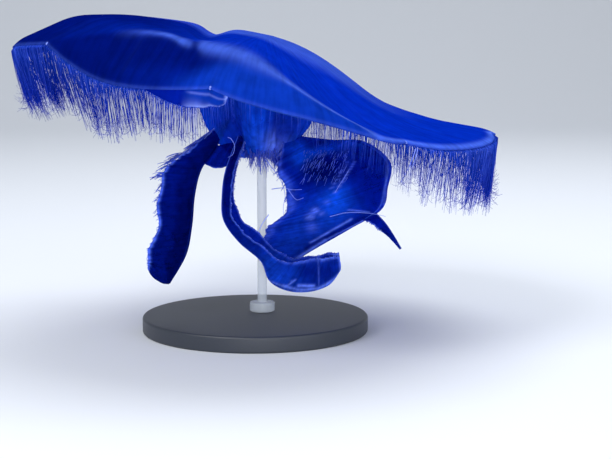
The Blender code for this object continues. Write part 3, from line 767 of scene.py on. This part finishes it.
def manubrium_point(turn, height):
    """The stalk's outside at arrays of turns, in radians, and heights."""
    at = np.linspace(0, 1, len(MANUBRIUM_LEVELS))
    level, radius = (np.interp(height, at, MANUBRIUM_LEVELS[:, k]) for k in (0, 1))
    corner = np.cos(4 * turn)
    outside = ease(height / 0.12) * fade(height, 0.52, 0.12)
    groove = GROOVE_DEPTH * radius * ((1 - corner) / 2) ** 2 * ease(height / 0.3)
    pleats = 0.0005 * np.sin(turn * 26 + 6 * height) + 0.0010 * np.sin(turn * 11 - 5 * height + 1)
    ruffle = RUFFLE_DEPTH * np.sin(turn * 19 + 2 * np.sin(turn * 3)) * spot(height, 0.46, 0.10)
    lobe = BROW_DEPTH * brow(turn, level, *BROW_SHAPE)
    reach = radius * (1 + MANUBRIUM_CORNERS * corner * fade(height, 0.5, 0.1)) - groove - STALK_INSET
    reach = np.maximum(reach + (pleats + ruffle + lobe) * outside, 0.0004)
    drop = RIM_WAVE * np.sin(turn * 19 + 2) * spot(height, 0.52, 0.08)
    return np.stack([MANUBRIUM_CENTRE + reach * np.cos(turn), reach * np.sin(turn), level + drop], -1)


def build_manubrium(material):
    turn = np.arange(MANUBRIUM_TURNS) * 2 * np.pi / MANUBRIUM_TURNS - np.pi
    height, around = np.meshgrid(np.linspace(0, 1, WALL_ROWS), turn, indexing="ij")
    wall = manubrium_point(around, height)
    corners = 1 + MANUBRIUM_CORNERS * np.cos(4 * turn)
    share = MANUBRIUM_SHARE * np.linspace(0.05, 1.0, ROOF_ROWS)[:, None] * corners
    roof = bell_under(share, np.degrees(turn) + 0 * share, -STALK_ROOTED)
    level = wall[..., 2]
    # Painted light: the stalk lies in the bell's shadow, so its corners and low part are lifted towards a
    # brighter azure, and the mouth's lip and the lobe carry painted highlights with a denser cover.
    lobe = brow(around, level, *BROW_HIGHLIGHT)
    corner = np.clip(np.cos(4 * around) + fade(level, 0.111, 0.010), 0, 1)
    lip = spot(height, 0.50, 0.07)
    colour = tinted(AZURE * 1.1, PAINTED_LIGHT_IN_SHADOW, corner)
    colour = tinted(colour, GLINT, 0.30 * lip)
    colour = tinted(colour, GLINT, 1.8 * lobe)
    cover = 0.50 + 0.45 * np.clip(1.6 * lobe + lip, 0, 1)
    lie = grain(14 * np.cos(around), 14 * np.sin(around), 4 * height)
    colour, cover, lie = (np.concatenate([value[:1]] * ROOF_ROWS + [value]) for value in (colour, cover, lie))
    piece = add_mesh("manubrium_skin", np.concatenate([roof, wall]), material, colour, cover, lie=lie)
    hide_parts("manubrium")


# ---- Gonads ----
GONAD_POINTS, GONAD_SIDES = 160, 16
GONAD_FRILLS, GONAD_WOBBLE = (90, 110), 0.0008  # radians along a horseshoe, of its path and of its thickness
GONAD_END = 0.08  # share of its length over which it tapers at each end


def build_gonads(material):
    """Four frilled horseshoes under the bell."""
    t = np.linspace(0, 1, GONAD_POINTS)
    middle = np.radians(GONAD_AZIMUTHS)[:, None]
    sweep = np.radians(GONAD_OPENING + (360 - 2 * GONAD_OPENING) * t + 180) + middle
    wobble = GONAD_RADIUS + GONAD_WOBBLE * np.sin(t * GONAD_FRILLS[0])
    x = GONAD_SHARE * BELL_ARC * np.cos(middle) + wobble * np.cos(sweep)
    y = GONAD_SHARE * BELL_ARC * np.sin(middle) + wobble * np.sin(sweep)
    share, turn = np.hypot(x, y) / BELL_ARC, np.degrees(np.arctan2(y, x))
    paths = bell_under(share, turn, GONAD_THICK / 2 - 0.0002)
    frill = np.sin(t * GONAD_FRILLS[1])
    ends = ease(t / GONAD_END) * ease((1 - t) / GONAD_END)
    radii = GONAD_THICK / 2 * (0.35 + 0.6 * ends) * (1 + 0.14 * frill)
    sideways = bell_normal(np.full(len(middle), GONAD_SHARE), np.array(GONAD_AZIMUTHS))
    colours = tinted(VIOLET, PALE, 0.25 + 0.25 * frill)[:, None]
    piece = add_strands("gonads", paths, radii, sideways, GONAD_SIDES, material, colours, 0.92)
    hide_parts("gonad_1", "gonad_2", "gonad_3", "gonad_4")


# ---- Oral arms: front lip, midrib and back lip, as (x, y, z) in millimetres, from root to tip ----
ORAL_ARMS = {
    "oral_arm_left": {
        "front": ((-22, -7, 129), (-40, -14, 113), (-53, -17, 103), (-58, -18, 85), (-59, -17, 66),
                  (-66, -14, 46), (-65, -8, 31)),
        "rib": ((-16, 0, 131), (-25, -2, 114), (-34, -4, 101), (-38, -6, 85), (-40, -6, 66),
                (-44, -4, 48), (-54, -2, 30)),
        "back": ((-20, 7, 129), (-34, 14, 112), (-45, 17, 101), (-50, 18, 84), (-50, 16, 66),
                 (-55, 12, 47), (-60, 6, 32)),
        "waves": 5.0,
    },
    "oral_arm_front": {
        "front": ((-5, -20, 121), (-11, -32, 103), (-13, -38, 88), (-11, -42, 74), (-2, -42, 65),
                  (11, -41, 54), (20, -40, 49), (30, -38, 50), (40, -36, 51), (48, -33, 51), (54, -30, 52)),
        "rib": ((-9, -13, 122), (-16, -24, 103), (-18, -30, 88), (-17, -34, 74), (-8, -34, 61),
                (5, -32, 49), (10, -30, 37), (20, -29, 31), (33, -28, 30), (45, -27, 34), (52, -26, 43)),
        "back": ((-4, -11, 122), (-10, -19, 105), (-12, -23, 89), (-9, -25, 76), (0, -26, 67),
                 (13, -25, 55), (22, -21, 49), (31, -18, 49), (40, -17, 50), (48, -19, 52), (54, -22, 52)),
        "waves": 7.0,
    },
    "oral_arm_right": {
        "front": ((18, -9, 119), (15, -19, 104), (18, -25, 93), (21, -27, 82), (14, -23, 72),
                  (6, -18, 64), (5, -15, 56), (9, -12, 50), (14, -9, 44)),
        "rib": ((21, 1, 121), (46, -2, 118), (66, -4, 117), (81, -6, 105), (79, -8, 90),
                (75, -9, 77), (56, -7, 65), (38, -5, 54), (21, -4, 43)),
        "back": ((19, 9, 118), (30, 19, 106), (42, 24, 98), (50, 26, 90), (52, 24, 80),
                 (48, 19, 70), (38, 13, 58), (28, 6, 51), (19, 3, 46)),
        "waves": 5.0,
    },
    "oral_arm_back": {
        "front": ((3, 15, 118), (16, 26, 98), (34, 32, 82), (58, 32, 71), (77, 31, 60), (90, 31, 47)),
        "rib": ((6, 21, 122), (25, 34, 108), (45, 40, 92), (65, 39, 77), (81, 35, 63), (92, 33, 46)),
        "back": ((6, 24, 117), (20, 44, 100), (38, 50, 84), (60, 46, 71), (77, 39, 60), (90, 35, 47)),
        "waves": 5.0,
    },
}


# Colour at the root and at the tip, the painted highlights on the midrib and the lips, cover, depth of the
# ruffles, how round the tip is, how near its corners that starts, and length of the digits along both lips.
ARM_LOOKS = {
    "oral_arm_left": {
        "tints": (NAVY * 1.2, NAVY * 0.7), "rib": 0.15, "rib_highlight_width": 0.03, "lip": 0.8, "cover": 0.72,
        "ruffle": 1.2, "round": 0.12, "corner": 4,
        "digits": ((0.011, 0.016, 0.007, 0.0018, 0.001), (0.004, 0.003, 0.002, 0.001, 0.001)),
    },
    "oral_arm_front": {
        "tints": (NAVY * 1.2, AZURE), "rib": 0.95, "rib_highlight_width": 0.12, "lip": 0.6, "cover": 0.58,
        "ruffle": 0.25, "round": 0.05, "corner": 2.5,
        "digits": ((0.002, 0.0012, 0.001, 0.001, 0.001), (0.002, 0.0015, 0.001, 0.001, 0.001)),
    },
    "oral_arm_right": {
        "tints": (BLUE, BLUE), "rib": 0.8, "rib_highlight_width": 0.018, "lip": 0.8, "cover": 0.45,
        "ruffle": 0.4, "round": 0.04, "corner": 2.5,
        "digits": ((0.007, 0.006, 0.003, 0.0015, 0.0015), (0.006, 0.005, 0.004, 0.003, 0.002)),
    },
    "oral_arm_back": {
        "tints": (NAVY * 1.5, BLUE), "rib": 0.7, "rib_highlight_width": 0.06, "lip": 0.8, "cover": 0.45,
        "ruffle": 0.7, "round": 0.16, "corner": 2.5,
        "digits": ((0.005, 0.004, 0.003, 0.002, 0.001), (0.005, 0.004, 0.003, 0.002, 0.001)),
    },
}
DIGIT_SHARES = (0.0, 0.15, 0.4, 0.7, 1.0)  # of a lip, where those lengths are given
# Painted light and shade on an arm, in millimetres, in the order in which they are laid: lighter patches,
# highlight lines and lifted ridges where light falls, darker pockets and stripes where shade falls.
# (x, z, radius, strength) is a spot, and (x, z, x, z, half width, strength) is a line between two places.
# Both have soft edges.
PAINTED_LIGHT_MARKS = {
    "oral_arm_right": (
        (AZURE * 1.1, ((38, 70, 18, 0.9), (24, 60, 14, 0.9), (14, 50, 10, 0.8), (54, 78, 10, 0.5))),
        (PAINTED_LIGHT_IN_SHADOW, ((48, 82, 9, 0.7), (52, 88, 6, 0.5), (27, 114, 8, 0.9), (18, 92, 5, 0.4))),
        (NAVY * 0.5, ((44, 103, 9, 0.8), (36, 104, 5, 0.6))),
        (NAVY, ((78, 92, 14, 0.4),)),
        (GLINT, ((37, 78, 1.8, 1.0), (34, 74, 2.0, 1.0), (41, 76, 1.4, 0.6), (35, 67, 3.0, 0.35),
                 (44, 83, 1.6, 0.4))),
        (NAVY, ((66, 72, 32, 53, 2.0, 0.8),)),
        (PAINTED_LIGHT_IN_SHADOW, ((26, 109, 46, 115, 2.6, 0.9), (46, 115, 58, 118, 2.6, 0.9), (58, 118, 70, 117, 2.4, 0.8))),
        (GLINT, ((59, 72, 34, 57, 0.7, 0.9), (66, 70, 43, 58, 0.8, 0.7), (43, 58, 25, 46, 1.2, 0.9),
                 (61, 107, 49, 89, 0.6, 0.7), (57, 107, 47, 92, 0.6, 0.5), (70, 117, 81, 108, 1.0, 0.6),
                 (81, 108, 79, 80, 0.8, 0.5), (57, 78, 70, 76, 0.5, 0.7))),
    ),
    "oral_arm_front": (
        (AZURE * 1.2, ((14, 38, 12, 0.95), (11, 50, 5, 0.7))),
        (NAVY * 1.3, ((32, 42, 6, 0.7), (44, 42, 8, 0.7))),
        (GLINT, ((23, 37, 1.0, 0.5), (6, 34, 2.0, 0.4))),
        (GLINT, ((28, 51, 53, 51, 0.7, 0.9), (27, 34, 36, 34, 1.0, 1.0), (25, 38, 20, 34, 0.6, 0.8),
                 (39, 50, 39, 34, 0.4, 0.4), (52, 50, 52, 41, 0.9, 0.8), (52, 41, 47, 36, 1.0, 0.9),
                 (47, 36, 39, 32, 1.0, 0.9), (39, 32, 28, 31, 1.1, 1.0), (28, 31, 18, 34, 1.0, 0.9),
                 (18, 34, 9, 37, 0.8, 0.6))),
    ),
}
ARM_WAVE = 0.0022
ARM_ROWS, ARM_COLUMNS = 300, 72
ARM_THICK, LIP_THICK = 0.0013, 0.0005
ARM_GRAIN = (550, 3, 10)  # how close its streaks lie along it and across it, and how far apart two arms' are
SEED_STEP = 1.7  # sets how one arm's ruffles differ from the next arm's
RUFFLE, RUFFLE_LENGTH = 0.0013, 0.011  # height and wavelength of the lips' ruffles
RIDGE_HEIGHT = 0.0005  # of the two ridges beside the midrib
TIP_FROM = (0.8, 0.2)  # share of the length over which the tip rounds off
LIP_FROM = (0.93, 0.05)  # share of the half width where the lip's painted highlight begins
LIT_ABOVE = 0.3  # a mark whose blue is above this makes the arm denser, and any other thinner


def arm_sheet(arm, share, across):
    """The middle of an oral arm's sheet. share and across are arrays of one shape."""
    front, rib, back = (through(arm[part], share) for part in ("front", "rib", "back"))
    control = rib * 2 - (front + back) / 2
    a = across[..., None]
    point = front * (1 - a) ** 2 + control * (2 * a * (1 - a)) + back * a**2
    ripple = ARM_WAVE * np.abs(2 * across - 1) ** 2 * np.sin(2 * np.pi * arm["waves"] * share + 2 * across)
    return point + unit(back - front) * ripple[..., None]


def arm_length(arm):
    rib = through(arm["rib"], np.linspace(0, 1, 60))
    return np.linalg.norm(np.diff(rib, axis=0), axis=1).sum()


def arm_surface(name):
    """(points, share, across) of a ruffled sheet with a rounded tip."""
    arm, look, seed = ORAL_ARMS[name], ARM_LOOKS[name], list(ORAL_ARMS).index(name) * SEED_STEP
    share, across = np.meshgrid(np.linspace(0, 1, ARM_ROWS), np.linspace(0, 1, ARM_COLUMNS), indexing="ij")
    lip = np.abs(2 * across - 1)
    points = arm_sheet(arm, share - look["round"] * lip ** look["corner"] * rise(share, *TIP_FROM), across)
    run = share * arm_length(arm) / RUFFLE_LENGTH * 2 * np.pi
    side = np.sign(across - 0.5)
    swell = np.sin(run + side * 1.3 + 1.7 * np.sin(run * 0.31 + seed)) * lip**4
    fine = 0.5 * np.sin(run * 2.7 + side * 2 + seed) * lip**8
    ruffles = RUFFLE * look["ruffle"] * (swell + fine) * (0.1 + 0.9 * ease(share / 0.06))
    ridges = spot(np.abs(across - 0.5), 0.06, 0.022) - 0.6 * spot(across, 0.5, 0.03)
    return points + sheet_normal(points) * (ruffles + RIDGE_HEIGHT * ridges)[..., None], share, across


def distance(x, z, start, end):
    """Distance in the x-z plane from the segment between two places, or from one place twice."""
    along_x, along_z = end[0] - start[0], end[1] - start[1]
    t = ((x - start[0]) * along_x + (z - start[1]) * along_z) / max(along_x**2 + along_z**2, 1e-9)
    t = np.clip(t, 0, 1)
    return np.hypot(x - start[0] - along_x * t, z - start[1] - along_z * t)


def arm_tint(name, share, across, points):
    """Colour and cover of an arm, with its painted highlights, light and shade."""
    look = ARM_LOOKS[name]
    root_tint, tip_tint = look["tints"]
    colour = tinted(root_tint, tip_tint, rise(share, 0.2, 0.5))
    # Painted highlights along the midrib and the lips; parts with painted light get a denser cover.
    rib_and_lip_highlight = look["rib"] * spot(across, 0.5, look["rib_highlight_width"])
    rib_and_lip_highlight = np.maximum(rib_and_lip_highlight, look["lip"] * rise(np.abs(2 * across - 1), *LIP_FROM))
    colour = tinted(colour, BRIGHT, rib_and_lip_highlight)
    lit = 0.8 * rib_and_lip_highlight
    x, z = points[..., 0] / MM, points[..., 2] / MM
    for towards, strokes in PAINTED_LIGHT_MARKS.get(name, ()):
        for *places, width, strength in strokes:
            part = strength * bump(distance(x, z, places[:2], places[-2:]) / width)
            colour = tinted(colour, towards, part)
            lit = lit + (float(towards[2] > LIT_ABOVE) - lit) * part
    return colour, look["cover"] + 0.42 * lit


# ---- The fine digits along the arms' lips and round the mouth ----
DIGIT_STEP, DIGIT_POINTS, DIGIT_SIDES = 0.0007, 6, 4
DIGIT_ROOT, DIGIT_TIP, DIGIT_MIDDLE = 0.00024, 0.00010, 0.004  # radii, and the length that has them
LIP_COLUMNS = ((0, 3), (-1, -4))  # of each lip on the sheet, and the column that its digits point away from
TUFT_SPACING, TUFT_DRIFT = 0.0011, 0.004  # metres of lip for each radian of a tuft, and of its unevenness
SHORTEST_DIGIT = 0.0006
DIGIT_DROOP = DOWN * 0.30
MOUTH_DIGITS, MOUTH_HEIGHTS = 620, (0.36, 0.50)
MOUTH_FRONT = (-1.35, 0.65)  # turn in radians of the longest digits round the mouth, and half their span
MOUTH_LENGTH, MOUTH_FRONT_LENGTH = 0.0035, 0.0095  # of its digits, and what the front adds
MOUTH_THIN = 0.42  # how thick they are beside an arm's


def digits(root, heading, curl, length):
    """(paths, radii) of fine digits that leave along heading and bend towards curl."""
    t = np.linspace(0, 1, DIGIT_POINTS)[None, :, None]
    bend = heading[:, None] * t * (1 - t / 2) + curl[:, None] * t**2 / 2
    radii = (DIGIT_ROOT + (DIGIT_TIP - DIGIT_ROOT) * t[..., 0]) * random.uniform(0.7, 1.2, (len(root), 1))
    radii = radii * np.clip(length / DIGIT_MIDDLE, 0.8, 1.8)[:, None]
    return root[:, None] + length[:, None, None] * bend, radii


def lip_digits(look, middle):
    """(paths, radii, sideways, places on the unwrap) of the digits along both lips of an arm, in tufts."""
    normal = sheet_normal(middle)
    parts = []
    for (column, inner), lengths in zip(LIP_COLUMNS, look["digits"]):
        edge = middle[:, column]
        run = np.concatenate([[0], np.cumsum(np.linalg.norm(np.diff(edge, axis=0), axis=1))])
        at = np.sort(random.uniform(0, run[-1], int(run[-1] / DIGIT_STEP)))
        sources = (edge, middle[:, inner], np.gradient(edge, run, axis=0), normal[:, column])
        root, within, ahead, face = (
            np.stack([np.interp(at, run, source[:, k]) for k in range(3)], -1) for source in sources
        )
        out, ahead = unit(root - within), unit(ahead)
        phase = at / TUFT_SPACING + 2 * np.sin(at / TUFT_DRIFT)
        length = np.interp(at / run[-1], DIGIT_SHARES, lengths) * (0.55 + 0.50 * np.sin(phase))
        length = np.maximum(length * random.uniform(0.7, 1.15, len(at)), SHORTEST_DIGIT)
        tilt = random.normal(0, 0.22, (len(at), 2)) + np.array([0.35, 0])
        tilt[:, 0] += 0.45 * np.cos(phase)
        heading = unit(out + ahead * tilt[:, :1] + face * tilt[:, 1:] + DIGIT_DROOP)
        bend = tilt[:, :1] + random.normal(0.2, 0.5, (len(at), 1))
        paths, radii = digits(root, heading, unit(out + ahead * bend + 2 * DIGIT_DROOP), length)
        places = polar_uv(0.1 + 0.4 * at / run[-1], at * 900)
        parts.append((paths, radii, unit(np.cross(heading, face)), places))
    return [np.concatenate(part) for part in zip(*parts)]


def mouth_digits():
    """The same for the digits round the mouth, longest at the front between two arms."""
    turn = random.uniform(-np.pi, np.pi, MOUTH_DIGITS)
    root = manubrium_point(turn, random.uniform(*MOUTH_HEIGHTS, MOUTH_DIGITS))
    out, aside = grain(np.cos(turn), np.sin(turn), 0), grain(-np.sin(turn), np.cos(turn), 0)
    length = MOUTH_LENGTH + MOUTH_FRONT_LENGTH * spot(turn, *MOUTH_FRONT)
    length = length * random.uniform(0.4, 1.1, MOUTH_DIGITS)
    sway = random.normal(0.05, 0.20, (MOUTH_DIGITS, 1))
    heading = unit(out * 0.35 + aside * sway + DOWN)
    curl = unit(aside * (sway + random.normal(0, 0.4, (MOUTH_DIGITS, 1))) + DOWN)
    paths, radii = digits(root - out * 0.0004, heading, curl, length)
    return [paths, radii * MOUTH_THIN, aside, polar_uv(0.05 + 0 * turn, np.degrees(turn))]


def build_arms(skin, fringe):
    """The four oral arms as one skin, and all fine digits as one joined mesh."""
    sheets, frills = [], [mouth_digits()]
    for seed, (name, arm) in enumerate(ORAL_ARMS.items()):
        middle, share, across = arm_surface(name)
        half = (ARM_THICK + (LIP_THICK - ARM_THICK) * np.abs(2 * across - 1) ** 2)[..., None] / 2
        places = grain(share * arm_length(arm), across, seed) * np.array(ARM_GRAIN)
        sheets.append((middle, half, *arm_tint(name, share, across, middle), places))
        frills.append(lip_digits(ARM_LOOKS[name], middle))
    middle, half, colours, cover, lie = (np.stack(part) for part in zip(*sheets))
    piece = add_sheet("oral_arm_skin", middle, half, skin, colours, cover, lie)
    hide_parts(*[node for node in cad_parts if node.startswith("oral_arm_")])
    paths, radii, sideways, roots = (np.concatenate(part) for part in zip(*frills))
    colours = tinted(AZURE * 1.4, PALE * 1.1, random.uniform(0, 1, (len(paths), 1, 1)) ** 0.6)
    at_mouth = np.arange(len(paths)) < MOUTH_DIGITS
    cover = np.where(at_mouth, 0.6, 0.85)[:, None, None]
    piece = add_strands("lip_frill", paths, radii, sideways, DIGIT_SIDES, fringe, colours, cover, roots)


# ---- Papillae of the right arm ----
PAPILLAE = 140
PAPILLA_X, PAPILLA_Z, PAPILLA_COLUMNS = (30, 58), (97, 114), 30  # millimetres, and columns from the front lip
PAPILLA_OUT, PAPILLA_THIN = 0.0012, 0.55  # how far in front of the sheet, how thick beside a digit
PAPILLA_LENGTHS = (0.002, 0.0055)


def build_papillae(material):
    """The fine pale papillae that slant over the upper part of the right arm, as one joined mesh."""
    middle, _, _ = arm_surface("oral_arm_right")
    x, z = middle[..., 0] / MM, middle[..., 2] / MM
    within = (x > PAPILLA_X[0]) & (x < PAPILLA_X[1]) & (z > PAPILLA_Z[0]) & (z < PAPILLA_Z[1])
    rows, columns = np.nonzero(within & (np.arange(ARM_COLUMNS) < PAPILLA_COLUMNS))
    picked = random.integers(0, len(rows), PAPILLAE)
    root = middle[rows[picked], columns[picked]] - np.array([0, PAPILLA_OUT, 0])
    jitter = random.normal(0, 0.10, (PAPILLAE, 3))
    heading, curl = (unit(np.array(way) + jitter) for way in ((-0.45, -0.6, -0.9), (-0.45, -0.1, -0.9)))
    paths, radii = digits(root, heading, curl, random.uniform(*PAPILLA_LENGTHS, PAPILLAE))
    roots = polar_uv(np.linspace(0.1, 0.9, PAPILLAE), np.arange(PAPILLAE) * 47.0)
    piece = add_strands("arm_papillae", paths, radii * PAPILLA_THIN, (1, 0, 0), DIGIT_SIDES, material,
                        (BRIGHT + PALE) / 2, 0.9, roots)


# ---- Loose threads and the web of the arms, as (x, y, z) in millimetres ----
THREADS = (
    ((7, -22, 109), (13, -27, 102), (17, -30, 96), (19, -31, 88), (18, -31, 82), (18, -30, 76)),
    ((11, -31, 92), (18, -33, 93), (23, -34, 92), (29, -33, 92)),
    ((21, -33, 92), (23, -34, 89), (26, -34, 86), (30, -33, 87)),
    ((9, -26, 76), (5, -25, 70), (2, -24, 63)),
    ((60, -16, 107), (56, -20, 100), (52, -22, 94), (49, -23, 89)),
    ((46, -20, 74), (55, -18, 76), (63, -16, 76), (72, -14, 75), (80, -12, 73)),
    ((-15, -31, 123), (-13, -31, 122), (-11, -31, 118), (-12, -31, 113), (-15, -31, 111)),
    ((91, -117, 124), (89, -117, 118), (86, -116, 111), (83, -114, 105)),
    ((92, -117, 124), (91, -117, 119), (89, -116, 113)),
)
THREAD_RADIUS = 0.00030
WEB_LEFT = ((-25, -2, 115), (-28, -3, 110), (-31, -5, 105))
WEB_RIGHT = ((-9, -14, 119), (-13, -19, 112), (-16, -22, 105))
THREAD_POINTS, THREAD_SIDES = 40, 6
WEB_POINTS, WEB_HALF = 40, 0.00025  # half its thickness
WEB_SAG, WEB_RIPPLE = 0.0022, 0.0012
WEB_GRAIN = (12, 2, 1)  # how close its streaks lie across it and down it


def build_web(material):
    """The thin web between the roots of the left and the front arm."""
    across = np.linspace(0, 1, WEB_POINTS)
    down = across[:, None]
    left, right = through(WEB_LEFT, down), through(WEB_RIGHT, down)
    middle = left + (right - left) * across[:, None]
    middle[..., 2] -= WEB_SAG * np.sin(np.pi * across) * down
    middle[..., 1] += WEB_RIPPLE * np.sin(across * 16 + 4 * down)
    hem = spot(down, 1, 0.05)
    colour = tinted(NAVY * 1.3, BRIGHT, hem * np.sin(np.pi * across))
    lie = grain(across, down, 0) * np.array(WEB_GRAIN)
    piece = add_sheet("arm_web", middle, WEB_HALF, material, colour, 0.6 + 0.3 * hem, lie)


def build_threads(material):
    t = np.linspace(0, 1, THREAD_POINTS)
    paths = np.array([through(route, t) for route in THREADS])
    radii = THREAD_RADIUS * (1 - 0.6 * t)
    roots = polar_uv(np.full(len(THREADS), 0.1), np.arange(len(THREADS)) * 40.0)
    piece = add_strands("arm_threads", paths, radii, (0, 1, 0), THREAD_SIDES, material,
                        PALE * 1.1, 0.95, roots)


# ---- The display stand ----
RIM_STEPS = 8  # points of a rounded rim
BASE_BEVEL, BASE_SIDES = 0.0015, 160
ROD_RADIUS, ROD_BEVEL, ROD_SIDES = 0.003, 0.0006, 48
COLLAR_HEIGHT, COLLAR_BEVEL = 0.006, 0.001
FILLET = ((0.003, 0.0068), (0.0034, 0.0062))  # radius and height, where the rod meets the collar
SHARP_ANGLE = 35  # degrees


def turned(name, outline, centre, sides, material, node):
    """A solid turned about a vertical axis: the outline is (radius, height) from top to bottom."""
    radius, height = np.array(outline).T[..., None]
    turn = np.arange(sides) * 2 * np.pi / sides
    points = grain(centre[0] + radius * np.cos(turn), centre[1] + radius * np.sin(turn), height)
    mesh = new_mesh(name, points, material)
    close_up(mesh)
    mesh.set_sharp_from_angle(angle=math.radians(SHARP_ANGLE))
    piece = add_object(name, mesh)
    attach(piece, "root")
    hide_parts(node)


def rounded(radius, top, bottom, bevel):
    """The outline of a disc or rod with rounded rims."""
    arc = [(bevel * math.sin(a), bevel * math.cos(a)) for a in np.linspace(0, np.pi / 2, RIM_STEPS)]
    above = [(radius - bevel + x, top - bevel + z) for x, z in arc]
    below = [(radius - bevel + z, bottom + bevel - x) for x, z in arc]
    return above + below


def base_material():
    """Satin moulded plastic with a fine, even grain."""
    material, shader = new_material("stand_base_satin")
    place = add_shader_node(material, "TexCoord").outputs["Object"]
    noise = add_shader_node(material, "TexNoise", {"Scale": 1400, "Vector": place}).outputs["Fac"]
    tone = add_shader_node(material, "MapRange", {"To Min": 0.40, "To Max": 0.52, "Value": noise})
    relief = add_shader_node(material, "Bump", {"Strength": 0.15, "Distance": 0.0002, "Height": noise})
    set_inputs(material, shader, {
        "Base Color": (0.030, 0.036, 0.050, 1), "Roughness": tone.outputs["Result"],
        "Normal": relief.outputs["Normal"],
    })
    return material


def rod_material():
    """Clear acrylic."""
    material, shader = new_material("stand_rod_acrylic")
    set_inputs(material, shader, {
        "Base Color": (0.80, 0.88, 0.96, 1), "Roughness": 0.06, "Alpha": 0.38, "IOR": 1.49,
    })
    return material


def build_stand():
    low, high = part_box("stand_base")
    outline = rounded((high[0] - low[0]) / 2, high[2], low[2], BASE_BEVEL)
    turned("stand_base_disc", outline, (0, 0), BASE_SIDES, base_material(), "stand_base")
    low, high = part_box("stand_rod")
    centre = ((low[0] + high[0]) / 2, (low[1] + high[1]) / 2)
    collar, foot, head = (high[0] - low[0]) / 2, low[2], high[2]
    outline = rounded(ROD_RADIUS, head, foot, ROD_BEVEL)[:RIM_STEPS]
    outline += [(radius, foot + height) for radius, height in FILLET]
    outline += rounded(collar, foot + COLLAR_HEIGHT, foot, COLLAR_BEVEL)
    turned("stand_rod_clear", outline, centre, ROD_SIDES, rod_material(), "stand_rod")


def main():
    jelly = flesh_material("jelly", 0.30, (110, 0.10), (1.0, 0.16), 0.0003, 0.20)
    tissue = flesh_material("oral_tissue", 0.36, (230, 0.26), (1.0, 0.20), 0.0004, 0.15)
    ripe = flesh_material("gonad_tissue", 0.42, (600, 0.18), (1.0, 0.0), 0.0003, 0.20)
    strands = flesh_material("strands", 0.40, (300, 0.15), (1.0, 0.0), 0.0001, 0.0)
    build_bell(jelly)
    build_margin_curl(jelly)
    build_canals(strands)
    build_rhopalia(ripe)
    build_tentacles("tentacle_fringe_front", -180, 180, strands)
    build_tentacles("tentacle_fringe_back", 0, 180, strands)
    build_manubrium(tissue)
    build_gonads(ripe)
    build_arms(tissue, strands)
    build_threads(strands)
    build_web(tissue)
    build_papillae(strands)
    build_stand()


# ---- Floor, camera and lights ----
FLOOR_NEAR, FLOOR_FAR, FLOOR_HALF_WIDTH = -3.0, 1.6, 5.0
SWEEP_RADIUS, SWEEP_TOP, SWEEP_STEPS = 1.2, 4.0, 24
CLEAR_LAYERS = 48  # of see-through tissue that a ray may cross
VIEW_WIDTH = 0.3785567  # what the view spans at the bell's distance
CAMERA_DISTANCE, CAMERA_RISE = 1.0, 8.0
CAMERA_TARGET = Vector((0.0315, 0, 0.0633))
SENSOR_WIDTH = 36  # millimetres


def set_stage():
    """A pale floor that sweeps up into a backdrop, and an even pale studio round it."""
    scene = bpy.context.scene
    scene.view_settings.view_transform = "Standard"
    scene.cycles.transparent_max_bounces = CLEAR_LAYERS
    scene.world = bpy.data.worlds.new("studio")
    scene.world.use_nodes = True
    backdrop = scene.world.node_tree.nodes["Background"]
    backdrop.inputs["Color"].default_value = (0.80, 0.84, 0.90, 1)
    backdrop.inputs["Strength"].default_value = 0.38
    outline = [(FLOOR_NEAR, 0.0)]
    for a in np.linspace(0, math.pi / 2, SWEEP_STEPS):
        outline.append((FLOOR_FAR + SWEEP_RADIUS * math.sin(a), SWEEP_RADIUS * (1 - math.cos(a))))
    outline.append((FLOOR_FAR + SWEEP_RADIUS, SWEEP_TOP))
    points = np.array([[(side * FLOOR_HALF_WIDTH, y, z) for side in (-1, 1)] for y, z in outline])
    material, shader = new_material("studio_sweep")
    set_inputs(material, shader, {
        "Base Color": (0.74, 0.77, 0.82, 1), "Roughness": 0.85, "Specular IOR Level": 0.1,
    })
    mesh = new_mesh("studio_sweep", points, material, joined=False)
    mesh.shade_smooth()
    piece = add_object("studio_sweep", mesh)


def set_camera():
    camera = bpy.data.cameras.new("camera")
    camera.sensor_width = SENSOR_WIDTH
    camera.lens = SENSOR_WIDTH * CAMERA_DISTANCE / VIEW_WIDTH
    holder = add_object("camera", camera)
    rise_angle = math.radians(CAMERA_RISE)
    away = Vector((0, -math.cos(rise_angle), math.sin(rise_angle)))
    holder.location = CAMERA_TARGET + away * CAMERA_DISTANCE
    holder.rotation_euler = (math.pi / 2 - rise_angle, 0, 0)
    bpy.context.scene.camera = holder


def add_light(name, place, aim, size, power, colour=(1, 1, 1)):
    light = bpy.data.lights.new(name, "AREA")
    light.size, light.energy, light.color = size, power, colour
    holder = add_object(name, light)
    holder.location = place
    holder.rotation_euler = (Vector(aim) - Vector(place)).to_track_quat("-Z", "Y").to_euler()


set_camera()
set_stage()
add_light("key", (-0.7, -0.9, 1.1), (0, 0, 0.12), 0.7, 14)
add_light("top", (0.3, 0.4, 1.3), (0, 0, 0.12), 1.2, 12, (0.94, 0.96, 1))
add_light("fill", (1.0, -1.0, 0.5), (0, 0, 0.10), 1.0, 6, (0.9, 0.94, 1))
add_light("front", (0.1, -1.4, 0.10), (0, 0, 0.09), 0.9, 11)
add_light("backdrop", (0, 1.3, 2.2), (0, 2.4, 0.1), 2.2, 12)
main()
